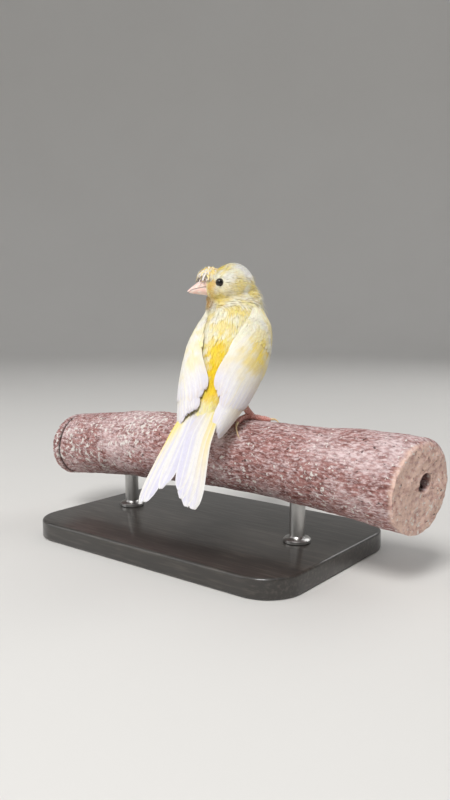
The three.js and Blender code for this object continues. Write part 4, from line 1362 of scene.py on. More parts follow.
class CanaryLooks(bpy.types.PropertyGroup):
    """Colours of the bird, the branch and the stand."""

    cream: colour_setting("Cream", "Ground colour of the body feathers", "#F8F2D8")
    white: colour_setting("White", "Frosted feather tips and the back of the crown", "#F3F1EE")
    pale_yellow: colour_setting("Pale yellow", "Breast and tail coverts", "#F8E676")
    yellow: colour_setting("Yellow", "Mottling, crown and nape", "#F8DA3C")
    gold: colour_setting("Gold", "Rump between the wings", "#FFD21E")
    orange: colour_setting("Orange", "Face round the bill", "#FFCB4A")
    olive: colour_setting("Olive", "Rear of the cheek", "#EBD257")
    cheek: colour_setting("Cheek", "Greyish cheek", "#ECDCA4")
    flight: colour_setting("Flight feathers", "Ground colour of wing and tail", "#F2EFE9")
    # Painted shade: the cool lavender laid over the inner vanes of wing and tail feathers
    lavender: colour_setting("Lavender", "Shaded vane of wing and tail feathers", "#D8D5EA")
    beige: colour_setting("Beige", "Worn tips of the inner wing feathers", "#D9C6AE")
    bill: colour_setting("Bill", "Horn of the bill", "#F6D0C4")
    bill_tip: colour_setting("Bill tip", "Paler streaks of the bill", "#FBE8DF")
    claw: colour_setting("Claw", "Horn of the claws", "#E8CE9C")
    leg: colour_setting("Leg", "Scaled skin of legs and feet", "#E8B4AA")
    leg_deep: colour_setting("Leg creases", "Creases between the scales", "#B4675B")
    lid: colour_setting("Lid", "Bare rim round the eye", "#3A302C")
    eye: colour_setting("Eye", "Dark of the eye", "#060505")
    iris: colour_setting("Iris", "Brown in the eye", "#120C09")
    wood: colour_setting("Wood", "Branch, middle tone", "#AC7C76")
    wood_dark: colour_setting("Dark wood", "Branch, stained grain", "#6A3F3A")
    wood_pale: colour_setting("Pale wood", "Branch, scuffed grain", "#E6D2D2")
    wood_end: colour_setting("End wood", "Sawn end of the branch", "#E8C8B8")
    spatter: colour_setting("Spatter", "White spots on the branch", "#EFEAE4")
    base: colour_setting("Base", "Lacquered base of the stand", "#33302D")
    rod: colour_setting("Rods", "Steel rods of the stand", "#B9B8B6")
    floor: colour_setting("Floor", "Floor and backdrop", "#DAD8D4")


def size_setting(name, text, value, low=0.0):
    return FloatProperty(name=name, description=text + ", in millimetres", default=value, min=low)


def stand_setting(name, text, value):
    return FloatProperty(name=name, description=text, default=value, min=0, unit="LENGTH")


def light_setting(name, text, value):
    return FloatProperty(name=name, description=text, default=value, min=0)


class CanaryCoat(bpy.types.PropertyGroup):
    """Sizes of the body feathers and the skin's depth below their tips."""

    body: size_setting("Body depth", "Depth of the coat on the body", 0.85)
    head: size_setting("Head depth", "Depth of the coat on the head", 0.6)
    face: size_setting("Face depth", "Depth of the coat on the face", 0.4)
    thigh: size_setting("Thigh depth", "Depth of the coat on the thighs", 0.8)
    body_length: size_setting("Body length", "Length of a body feather", 6.4)
    body_width: size_setting("Body width", "Width of a body feather", 0.9)
    body_spacing: size_setting("Body spacing", "Distance between body feathers", 0.62, 0.4)
    head_length: size_setting("Head length", "Length of a head feather", 3.8)
    head_width: size_setting("Head width", "Width of a head feather", 0.7)
    head_spacing: size_setting("Head spacing", "Distance between head feathers", 0.56, 0.3)
    seed: IntProperty(name="Seed", description="Which spread of feathers is made", default=7, min=0)


class CanaryCrest(bpy.types.PropertyGroup):
    """The tuft of curled feathers on the forehead."""

    locks: IntProperty(name="Locks", description="How many curled feathers the tuft has", default=520, min=10)
    width: size_setting("Lock width", "Width of a lock at its root", 1.7)
    length: size_setting("Lock length", "Length of the longest locks", 6.4)


class CanaryStand(bpy.types.PropertyGroup):
    """Sizes of the display stand, in metres."""

    length: stand_setting("Base length", "Length of the base", 0.150)
    width: stand_setting("Base width", "Width of the base", 0.100)
    thickness: stand_setting("Base thickness", "Thickness of the base", 0.009)
    corner: stand_setting("Corner", "Radius of the base's corners", 0.0172)
    bevel: stand_setting("Edge", "Rounding of the base's edges", 0.0012)
    spacing: stand_setting("Rod spacing", "Distance between the rods", 0.104)
    radius: stand_setting("Rod radius", "Radius of a rod", 0.0035)
    collar: stand_setting("Collar radius", "Radius of a rod's foot", 0.0062)


class CanaryStage(bpy.types.PropertyGroup):
    """Light and backdrop."""

    key: light_setting("Key light", "Power of the main light, in watts", 12.5)
    fill: light_setting("Fill light", "Power of the second light, in watts", 3.4)
    sky: light_setting("Surround", "Strength of the even light all round", 0.48)


store = {}  # the skin's points and faces, which its operator leaves for the coat's


# Pieces


def show_flesh(name, bm, tones, on_wing=False):
    """A soft piece under feathers, coloured as they are and mapped round the trunk's line."""
    points = coords(bm.verts)
    colours, _ = plumage_colours(points, tones, on_wing)
    mesh = finished(bm, name)
    paint(mesh, colours * 0.95)
    share, angle, _ = spine_share(points)
    map_corners(mesh, "OFBake", joined(angle / TURN_ROUND + 0.5, share))
    show(name, mesh, down_finish("Down"))


class CANARY_OT_skin(bpy.types.Operator):
    """Make the skin under the feathers"""

    bl_idname = "canary.skin"
    bl_label = "Skin"

    def execute(self, context):
        points, faces = build_skin(context.scene.canary_coat)
        tones = palette()
        regions = skin_regions(points)
        mesh = mesh_from_arrays("body_skin", bird_to_part(points), facing_out(points, faces))
        colours, _ = plumage_colours(points, tones)
        paint(mesh, colours * 0.9)
        corner = np.empty(len(mesh.loops), np.int32)
        mesh.loops.foreach_get("vertex_index", corner)
        face_regions = np.median(regions[faces], axis=1).astype(int)
        _, middle = skin_place(points[faces].mean(1), face_regions)
        places, _ = skin_place(points[corner], np.repeat(face_regions, 4), np.repeat(middle, 4))
        map_corners(mesh, "OFBake", places)
        nodes = ("torso", "neck", "head", "thigh_left", "thigh_right")
        show("body_skin", mesh, down_finish("Down"), nodes)
        store["skin"] = points, faces
        return {"FINISHED"}


def batches(*coats, across):
    """Each coat as pieces that stay below the limit on triangles, parted from left to right."""
    for name, chosen, form in coats:
        which = np.flatnonzero(chosen)
        which = which[np.argsort(across[which])]
        pieces = math.ceil(len(which) * len(form["faces"]) * 2 / PIECE_TRIANGLES)
        for k, part in enumerate(np.array_split(which, pieces)):
            yield f"{name}_{k + 1}", part, form


def under_wing(roots, normals):
    """Whether each root lies well under a folded wing."""
    bm = bmesh.new()
    for _, side in SIDES:
        made, co = grid(bm, 24, 16)
        u = lerp(0.08, 0.8, (co[:, 0] + 1) / 2)
        place = co[:, 1] * 0.62
        put(made, wing_point(side, u * WING[side]["reach"], wing_across(side, u, place), 0.2))
    tree = BVHTree.FromBMesh(bm)
    bm.free()
    return np.array([tree.ray_cast(Vector(p), Vector(n), 9)[0] is not None for p, n in zip(roots, normals)])


class CANARY_OT_coat(bpy.types.Operator):
    """Grow the body feathers over the skin"""

    bl_idname = "canary.coat"
    bl_label = "Coat"

    def execute(self, context):
        coat = context.scene.canary_coat
        tones = palette()
        rng = np.random.default_rng(coat.seed)
        points, faces = store["skin"]
        tree = BVHTree.FromPolygons(points.tolist(), faces.tolist())
        roots = scatter(points, faces, coat, rng)
        roots, normals = nearest(tree, roots)
        local = out_of_head(roots)
        in_mouth = (size_of(local[:, [0, 2]] / (3.8, 4.6)) < 1) & (local[:, 1] > 7.5)
        off_eye = np.c_[np.abs(local[:, 0]) - EYE_X - 1.2, local[:, 1] - EYE["y"], local[:, 2] - EYE["z"]]
        in_eye = size_of(off_eye) <= EYE["bare"]
        keep = ~in_mouth & ~in_eye & ~under_wing(roots, normals)
        roots, normals = roots[keep], normals[keep]
        ways = lie_of(roots, normals)
        lengths, widths, _ = coat_sizes(roots, coat)
        lengths = lengths * rng.uniform(0.82, 1.15, len(roots))
        local = out_of_head(roots)
        reach = size_of(local / HEAD_REACH)
        on_body = smooth(reach, 0.95, 1.5)
        face = smooth(local[:, 1], 3.5, 8.5) * (1 - on_body)
        depths = lerp(lerp(coat.head, coat.face, face), coat.body, on_body)
        lifts = depths * rng.uniform(0.9, 0.98, len(roots))
        nape, crown = (blob(roots, middle, size) for middle, size, _ in (RUFFLED_NAPE, RUFFLED_CROWN))
        ruffled = rng.random(len(roots)) < RUFFLED_NAPE[2] * nape + RUFFLED_CROWN[2] * crown
        lifts = np.where(ruffled, lifts + rng.uniform(0.5, 1.7, len(roots)) * (1 - 0.6 * crown), lifts)
        lengths = np.where(ruffled, lengths * 1.25, lengths)
        widths = np.where(ruffled, widths * 0.5, widths)
        throat = blob(local, (0, 8.5, -7.5), (6, 4, 4), 2)
        lifts = lifts + 1.3 * throat * rng.random(len(roots)) ** 1.5
        base, frost = plumage_colours(roots + ways * lengths[:, None] * 0.5, tones)
        frost = np.where(ruffled, 1.2, frost)
        places, _ = skin_place(roots, skin_regions(roots))
        small = lengths < 2.6
        head = (reach < 1.2) & ~small
        back = ~small & ~head & (np.abs(spine_share(roots)[1]) < 1.35)
        front = ~small & ~head & ~back
        plume, tiny = vane_form(4, 2), vane_form(3, 2)
        for name, chosen, form in batches(
            ("face_feathers", small, tiny),
            ("head_feathers", head, plume),
            ("back_feathers", back, plume),
            ("breast_feathers", front, plume),
            across=roots[:, 0],
        ):
            sizes = lengths[chosen], widths[chosen]
            places_on_skin = roots[chosen], normals[chosen], ways[chosen]
            vanes = plumes(form, *places_on_skin, *sizes, lifts[chosen], tree, rng)
            soft_piece(name, vanes, form, base[chosen], frost[chosen], places[chosen], sizes, tones, rng)
        return {"FINISHED"}


class CANARY_OT_wings(bpy.types.Operator):
    """Make both folded wings, row by row"""

    bl_idname = "canary.wings"
    bl_label = "Wings"

    def execute(self, context):
        tones = palette()
        flight, covert, small = vane_form(14, 8, True), vane_form(7, 6, True), vane_form(4, 4)
        total = sum(row[0] for row in WING_ROWS.values())
        for word, side in SIDES:
            rng = np.random.default_rng(30 + side)
            parts, first = [], 0
            for row in WING_ROWS.values():
                count, style = row[0], row[-1]
                form = covert if style == "covert" else flight
                points, share, across, lengths, widths = wing_row(side, row, form, rng)
                mottled, _ = plumage_colours(points.reshape(-1, 3), tones, True)
                colours = flight_colours(share, across, tones, style, rng)
                fade = np.full_like(share, 0.95) if style == "covert" else 0.7 * smooth(share, 0.9, 0.4)
                colours = tint(colours, mottled, fade.ravel())
                bake = atlas_places(share, across, 8, first, total)
                parts.append((points, form, colours, bake, barb_places(share, across, lengths, widths, rng)))
                first += count
            finish = feathers("Flight feathers")
            vane_piece("wing_vanes_" + word, parts, finish, ("wing_" + word,))
            self.core(side, word, tones)
            self.small_coverts(side, word, small, tones, rng)
        return {"FINISHED"}

    def core(self, side, word, tones):
        """The folded arm and the feathers' bases, under the rows."""
        bm = bmesh.new()
        made, _ = grid(bm, 40, 28)
        copy = bmesh.ops.duplicate(bm, geom=bm.verts[:] + bm.edges[:] + bm.faces[:])["geom"]
        lower = [g for g in copy if isinstance(g, bmesh.types.BMVert)]
        for face, verts in ((1, made), (-1, lower)):
            co = coords(verts)
            s, v = (co[:, 0] + 1) / 2, co[:, 1]
            u = s * WING_CORE["reach"]
            rim = np.sqrt(np.clip(1 - np.maximum(np.abs(v), np.abs(2 * s - 1)) ** 8, 0, 1))
            top = wing_top(u, v) - 0.25
            low = np.minimum(-WING_CORE["sink"] * wing_thin(u), top - 0.3)
            height = lerp((top + low) / 2, top if face > 0 else low, rim)
            degrees = wing_across(side, u, v * (0.92 - 0.45 * s**4))
            put(verts, wing_point(side, u * WING[side]["reach"], degrees, height))
        bmesh.ops.remove_doubles(bm, verts=bm.verts, dist=1e-3)
        show_flesh("wing_base_" + word, bm, tones, True)

    def small_coverts(self, side, word, form, tones, rng):
        """Small soft feathers over the wing's front and along its back edge."""
        count = 1700
        u = rng.uniform(0, 1, count) ** 0.9 * 0.36
        place = rng.uniform(-1.15, 0.98, count)
        keep = (u < 0.27) | (place < -0.45)
        u, place = u[keep], place[keep]
        count = len(u)
        length = rng.uniform(0.06, 0.09, count)
        root = joined(u, place)
        drift = rng.normal(0, 0.03, count) + 0.1 * (place < -0.6)
        tip = root + joined(length, drift)
        widths = rng.uniform(1.2, 1.7, count)
        lifts = joined(np.full(count, -0.2), rng.uniform(0.7, 0.85, count))
        lifts[:, 1] -= 0.5 * smooth(u, 0.08, 0.0) + 0.55 * smooth(place, -0.3, -0.9) * smooth(u, 0.15, 0.3)
        vanes = wing_vanes(side, form, root, tip, widths, lifts, np.zeros(count), rng, 0.22)
        base, frost = plumage_colours(vanes[0].mean(1), tones, True)
        places = joined(0.05 + 0.9 * (place + 1.2) / 2.3, 0.05 + 0.9 * u / 0.4)
        sizes = np.full(count, 6.0), widths
        soft_piece("wing_small_coverts_" + word, vanes, form, base, frost, places, sizes, tones, rng)


class CANARY_OT_tail(bpy.types.Operator):
    """Make the tail's two lobes and its coverts"""

    bl_idname = "canary.tail"
    bl_label = "Tail"

    def execute(self, context):
        tones = palette()
        rng = np.random.default_rng(52)
        form = vane_form(20, 8, True)
        parts = []
        for k, lobe in enumerate(TAIL_LOBES):
            side, count = lobe["side"], len(lobe["places"])
            f = np.array(lobe["places"])[:, None]
            s = form["s"][None] * (1 - notches(form, count, 0.008, rng))
            v, h = form["v"][None], form["h"][None]
            end = lobe["length"] - lobe["short"] * f**2 - 1.2 * (1 - f) ** 4
            distance = lerp(TAIL["root"], end, s)
            bend = TAIL["sway"] * np.sin(math.pi * np.sqrt(s))
            tips = side * lerp(lobe["outer"], lobe["inner"], f)
            middle = lerp(side * lerp(TAIL["spread"], 0.5, f), tips, s) + bend
            apart = side * lobe["apart"] * smooth(s, 0.45, 0.05)
            x = middle + v * TAIL["width"] * vane_outline(s) / 2 + apart
            layer = lobe["raise"] + 0.2 * f * (count - 1) - 0.1 * v * side
            thick = 0.16 * h + 0.1 * np.exp(-((v / 0.09) ** 2)) * np.sign(h) * (1 - 0.5 * s)
            lift = layer - 0.012 * (x - bend) ** 2 * s + thick + 0.16 * (1 - v * v)
            points = on_tail(x, distance, lift)
            share, across = s * np.ones_like(v), v * np.ones_like(s) * side
            colours = self.colours(share, across, f, lobe, tones, rng)
            widths = np.full(count, TAIL["width"])
            bake = atlas_places(share, across, count, k * count, 2 * count)
            parts.append((points, form, colours, bake, barb_places(share, across, end[:, 0], widths, rng)))
        vane_piece("tail_vanes", parts, feathers("Flight feathers"), ("tail",))
        self.root(tones)
        self.coverts(tones, rng)
        return {"FINISHED"}

    def colours(self, share, across, f, lobe, tones, rng):
        """White vanes with painted lavender shade over their inner part, and yellow edges that fade towards
        the tips.
        """
        count, size = share.shape
        colours = np.repeat(np.repeat(tones["flight"][None], count, 0)[:, None], size, 1)
        colours = colours * rng.normal(1, 0.015, (count, 1, 1))
        # Painted shade: a cool lavender laid over the inner part of each vane
        colours = tint(colours, tones["lavender"], 0.85 * smooth(across, 0.8, 0.2))
        streak = ripple(joined(across * 3.1, share * 2.2, f * 9), 0.8, 63)
        colours = colours * (1 + 0.02 * streak[..., None])
        fade = smooth(share, 0.95, 0.2)
        if lobe["side"] > 0:
            edge = 0.75 * smooth(across, -0.1, 0.25) * smooth(across, 0.98, 0.6) * fade * smooth(f, 0.65, 0.3)
        else:
            edge = smooth(across, 0.4, 0.95) * fade * smooth(f, 0.6, 0.0)
            edge = edge + 0.4 * smooth(across, 0.7, 1.0) * fade
        colours = tint(colours, tones["yellow"], np.clip(0.85 * edge, 0, 1))
        base = smooth(share, 0.5, 0.1) * (smooth(f, 0.7, 0.3) if lobe["side"] < 0 else 0.3)
        base = np.maximum(base, 0.8 * smooth(share + 0.05 * streak, 0.28, 0.1))
        colours = tint(colours, tones["pale_yellow"], 0.85 * base)
        colours = tint(colours, tones["white"], 0.85 * np.exp(-((across / 0.11) ** 2)))
        rim = np.maximum(smooth(np.abs(across), 0.86, 0.99), smooth(share, 0.985, 1.0))
        colours = tint(colours, tones["white"], 0.8 * rim * smooth(share, 0.3, 0.7))
        return np.clip(colours, 0, 0.93).reshape(-1, 3)

    def root(self, tones):
        """The fleshy tail root that the feathers grow from."""
        bm = bmesh.new()

        def place(t, angle, out):
            wide = lerp(5.8, 4.2, t) * np.sqrt(1 - 0.9 * t**4)
            high = lerp(2.8, 0.5, t)
            return on_tail(wide * np.sin(angle) * out, lerp(-3, 12, t), high * np.cos(angle) * out)

        tube(bm, 36, 24, place)
        show_flesh("tail_root", bm, tones)

    def coverts(self, tones, rng):
        """Upper and lower tail coverts, laid over the bases of the long feathers."""
        form = vane_form(5, 3)
        for name, count, face, start, reach, half in (
            ("tail_coverts_upper", 190, 1, (-6, 3), (5, 9), 5.8),
            ("tail_coverts_lower", 170, -1, (-6, 12), (8, 16), 6.0),
        ):
            root_x = rng.uniform(-1, 1, count)
            begin = rng.uniform(*start, count)
            length = rng.uniform(*reach, count) * (1 - 0.25 * np.abs(root_x))
            widths = rng.uniform(1.4, 2.2, count)
            s = form["s"][None] * (1 - notches(form, count, 0.16, rng) * smooth(form["s"], 0.5, 1))
            v, h = form["v"][None], form["h"][None]
            distance = begin[:, None] + length[:, None] * s
            wide = half * (1 - 0.25 * smooth(distance, 0, 20))
            sway = TAIL["sway"] * np.sin(math.pi * np.sqrt(np.clip(distance / 60, 0, 1)))
            middle = root_x[:, None] * wide * (0.75 + 0.2 * s) + sway
            shape = np.minimum(1, 0.5 + 1.5 * s) * (1 - 0.55 * smooth(s, 0.6, 1.0))
            x = middle + v * widths[:, None] / 2 * shape
            crown = np.sqrt(np.clip(1 - (x / 7.6) ** 2, 0.05, 1))
            stray = rng.uniform(0, 0.1, (count, 1))
            if face > 0:
                height = lerp(3.4, 1.6, smooth(distance, -2, 12)) * crown + 0.15 + 0.12 * s + stray
            else:
                height = lerp(3.6, 0.75, smooth(distance, -2, 24)) * crown + 0.15 + 0.35 * s
            lift = face * (height + 0.12 * (1 - v * v)) + 0.09 * h
            points = on_tail(x, distance, lift)
            base, frost = plumage_colours(points[:, np.argmax(form["s"])], tones)
            if face < 0:
                base = lerp(base, tones["cream"], 0.6)
            share, across = s * np.ones_like(v), v * np.ones_like(s)
            places = joined(0.1 + 0.8 * (root_x + 1) / 2, 0.1 + 0.8 * (begin + 6) / 20)
            vanes = points, share, across
            soft_piece(name, vanes, form, base, frost, places, (length, widths), tones, rng)


class CANARY_OT_crest(bpy.types.Operator):
    """Make the curled tuft on the forehead"""

    bl_idname = "canary.crest"
    bl_label = "Crest"

    def execute(self, context):
        crest = context.scene.canary_crest
        tones = palette()
        rng = np.random.default_rng(71)
        form = vane_form(7, 2)
        count = crest.locks
        tier = rng.random(count) ** 0.6  # 0 on top, 1 in the outer ring
        way = math.radians(160) * rng.uniform(-1, 1, count)
        s = form["s"][None]
        v, h = form["v"][None], form["h"][None]
        root = 0.2 + 2.1 * tier + rng.normal(0, 0.25, count)
        length = crest.length * lerp(0.3, 0.78, tier) * rng.uniform(0.75, 1.1, count)
        rise = lerp(4.4, 2.4, tier) * rng.uniform(0.8, 1.1, count)
        droop = lerp(0.4, 4.0, tier) * rng.uniform(0.6, 1.4, count)
        curl = rng.normal(0, 0.9, count)

        def centre(at):
            far = root[:, None] + length[:, None] * at
            side = (curl[:, None] * at * at)[..., None]
            out = joined(np.sin(way), np.cos(way), 0.0)[:, None]
            across = joined(np.cos(way), -np.sin(way), 0.0)[:, None]
            up = rise[:, None] * np.sin(at * 2.2) - droop[:, None] * at * at
            return far[..., None] * out + side * across + up[..., None] * (0, 0, 1), across

        middle, across = centre(s)
        run = unit(centre(s + 0.02)[0] - centre(s - 0.02)[0])
        out = unit(np.cross(across * np.ones_like(run), run))
        half = crest.width / 2 * rng.uniform(0.6, 1.2, (count, 1)) * (1 - 0.7 * s**2.6)
        lift = h * 0.13 * (1 - 0.5 * s) - 0.3 * v * v * half
        points = middle + across * (v * half)[..., None] + out * lift[..., None] + (0, *CREST_AT)
        front = smooth(np.cos(way), 0.2, 0.9) * smooth(tier, 0.4, 0.8)
        base = lerp(tones["orange"][None], tones["pale_yellow"][None], rng.uniform(0, 1, (count, 1)))
        rosy = (rng.random(count) < 0.2 + 0.5 * front * smooth(np.abs(way), 2.2, 0.3))[:, None]
        base = np.where(rosy, lerp(tones["bill_tip"], tones["white"], 0.55)[None], base)
        share = s * np.ones((count, 1))
        frost = rng.uniform(0.3, 1.1, count)
        vanes = in_head(points), share, np.broadcast_to(v, share.shape)
        places = joined(0.1 + 0.8 * (way / TURN_ROUND + 0.5), 0.1 + 0.8 * tier)
        sizes = length, np.full(count, crest.width)
        soft_piece("crest_locks", vanes, form, base, frost, places, sizes, tones, rng, ("crest",))
        return {"FINISHED"}


class CANARY_OT_eyes(bpy.types.Operator):
    """Make the eyes and the bare rims round them"""

    bl_idname = "canary.eyes"
    bl_label = "Eyes"

    def execute(self, context):
        looks = context.scene.canary_looks
        dark = eye_finish("Eye", tuple(looks.eye), tuple(looks.iris))
        skin = scale_finish("Eye rim", tuple(looks.lid), tuple(c * 0.6 for c in looks.lid))
        for word, side in SIDES:
            bm = bmesh.new()
            made = bmesh.ops.create_uvsphere(bm, u_segments=40, v_segments=24, radius=EYE["radius"])["verts"]
            co = coords(made)
            put(made, in_head(co * EYE["ball"] + (side * (EYE_X + 0.3), EYE["y"], EYE["z"])))
            show_bmesh("eye_ball_" + word, bm, dark, ("eye_" + word,))
            bm = bmesh.new()
            made, co = grid(bm, 48, 12, 0.5)
            round_eye, round_rim = (co[:, 0] + 0.5) * TURN_ROUND, (co[:, 1] + 0.5) * TURN_ROUND
            thick = 0.22 * (1 + 0.12 * np.sin(round_eye * 9) + 0.1 * np.sin(round_eye * 17 + 1))
            wide = EYE["rim"] + thick * np.cos(round_rim)
            x = side * (EYE_X + EYE["sunk"] + 0.05 + thick * np.sin(round_rim) * 0.9)
            y = EYE["y"] + wide * 1.06 * np.cos(round_eye)
            z = EYE["z"] + wide * 0.96 * np.sin(round_eye)
            put(made, in_head(joined(x, y, z)))
            bmesh.ops.remove_doubles(bm, verts=bm.verts, dist=1e-4)
            show_bmesh("eye_rim_" + word, bm, skin)
        return {"FINISHED"}


class CANARY_OT_bill(bpy.types.Operator):
    """Make the two halves of the bill"""

    bl_idname = "canary.bill"
    bl_label = "Bill"

    def execute(self, context):
        looks = context.scene.canary_looks
        finish = horn_finish("Bill horn", tuple(looks.bill), tuple(looks.bill_tip))
        for name, solid, upper in (("bill_top", "bill_upper", True), ("bill_bottom", "bill_lower", False)):
            bm = bmesh.new()
            tube(bm, 72, 56, lambda t, angle, out, upper=upper: in_bill(self.half(t, angle, out, upper)))
            show_bmesh(name, bm, finish, (solid,))
        return {"FINISHED"}

    def half(self, t, angle, out, upper):
        """A point of one half: its outer arc, or the flat that meets the other half."""
        t = t * (0.985 if upper else 0.93)
        y = t * BILL["length"]
        swell = np.sqrt(1 - t) * (1 - 0.25 * t) + 0.035
        wide = BILL["wide"] * (1 - t) ** 0.8 * (1 - 0.12 * t) + 0.12
        high = BILL["high"] * lerp(1 - t, swell, 0.5)
        droop = -0.4 * t * t
        u = (y + 6) / (BILL["length"] + 10)
        line = -0.2 + 0.5 * np.sin(u * math.pi) - 1.5 * smooth(u, 0.6, 1)
        line = line - 0.35 * smooth(t, 0.3, 0.0) * (np.abs(np.sin(angle)) ** 3)
        c, s = np.cos(angle), np.sin(angle)
        ridge = 1 + 0.05 * np.exp(-((s / 0.3) ** 2)) * (c > 0)
        if upper:
            edge = line + MOUTH_GAP / 2
            z = np.where(c > 0, edge + (droop + high * ridge - edge) * c, edge + 0.16 * (1 - np.abs(s)))
            x = wide * s
            pit = np.hypot((y - 3.3) / 0.55, (z - 1.9) / 0.42)
            x = x * (1 - 0.16 * np.exp(-(pit**2)))
        else:
            edge = line - MOUTH_GAP / 2
            deep = droop - high * 0.86
            z = np.where(c < 0, edge + (edge - deep) * c, edge)
            x = wide * 0.95 * s
        return joined(x * out, y, lerp(line, z, out))


class CANARY_OT_legs(bpy.types.Operator):
    """Make shanks, toes and claws"""

    bl_idname = "canary.legs"
    bl_label = "Legs"

    def execute(self, context):
        looks = context.scene.canary_looks
        skin = scale_finish("Leg skin", tuple(looks.leg), tuple(looks.leg_deep))
        horn = horn_finish("Claw horn", tuple(looks.claw), tuple(c * 0.82 for c in looks.claw))
        for word, side in SIDES:
            base, heel = leg_ends(side)
            bm = bmesh.new()
            line = [base + (heel - base) * k for k in (0.0, 0.3, 0.65, 1.0)]
            rope(bm, line, SHANK_RADII, 28, 72, scutes(11, 0.09), face=(0, 1, 0.4))
            show_bmesh("shank_skin_" + word, bm, skin, ("shank_" + word,))
            flesh, nails = bmesh.new(), bmesh.new()
            made = bmesh.ops.create_uvsphere(flesh, u_segments=24, v_segments=16, radius=1.9)["verts"]
            co = coords(made)
            put(made, co * (1.1, 1.1, 0.85) + base)
            for turn, share in FRONT_TOES:
                self.toe(flesh, nails, side, turn, TOE["front"] * share, TOE["claw"])
            self.toe(flesh, nails, side, HIND_TURN, TOE["hind"], TOE["hind_claw"], TOE["curl"])
            show_bmesh("foot_skin_" + word, flesh, skin, ("foot_" + word,))
            show_bmesh("claws_" + word, nails, horn)
        return {"FINISHED"}

    def toe(self, flesh, nails, side, turn, length, claw, curl=0.0):
        """One toe that bends round the branch, and its claw."""
        x, y = ankle_on_perch(side)
        way = math.radians(turn)
        r = TOE["radius"]

        def at(s, lift):
            across = side * (s * math.sin(way) + curl * s * s)
            return on_perch(np.float64(x + across), y + s * math.cos(way), lift)

        line = [at(-0.6, r * 1.3)] + [at(share * length, r * high) for share, high in TOE_LINE]
        face = unit(line[3] - perch_to_bird(np.array([x, 0, sag_at(x)])))
        rope(flesh, line, TOE_RADII, 22, 60, scutes(9, 0.1), face=face)
        nail = [at(length - 1.0, r * 1.1)]
        nail += [at(length + claw * share, r * high) for share, high in CLAW_LINE] + [at(length + claw, 0.25)]
        rope(nails, nail, CLAW_RADII, 16, 30, face=face)


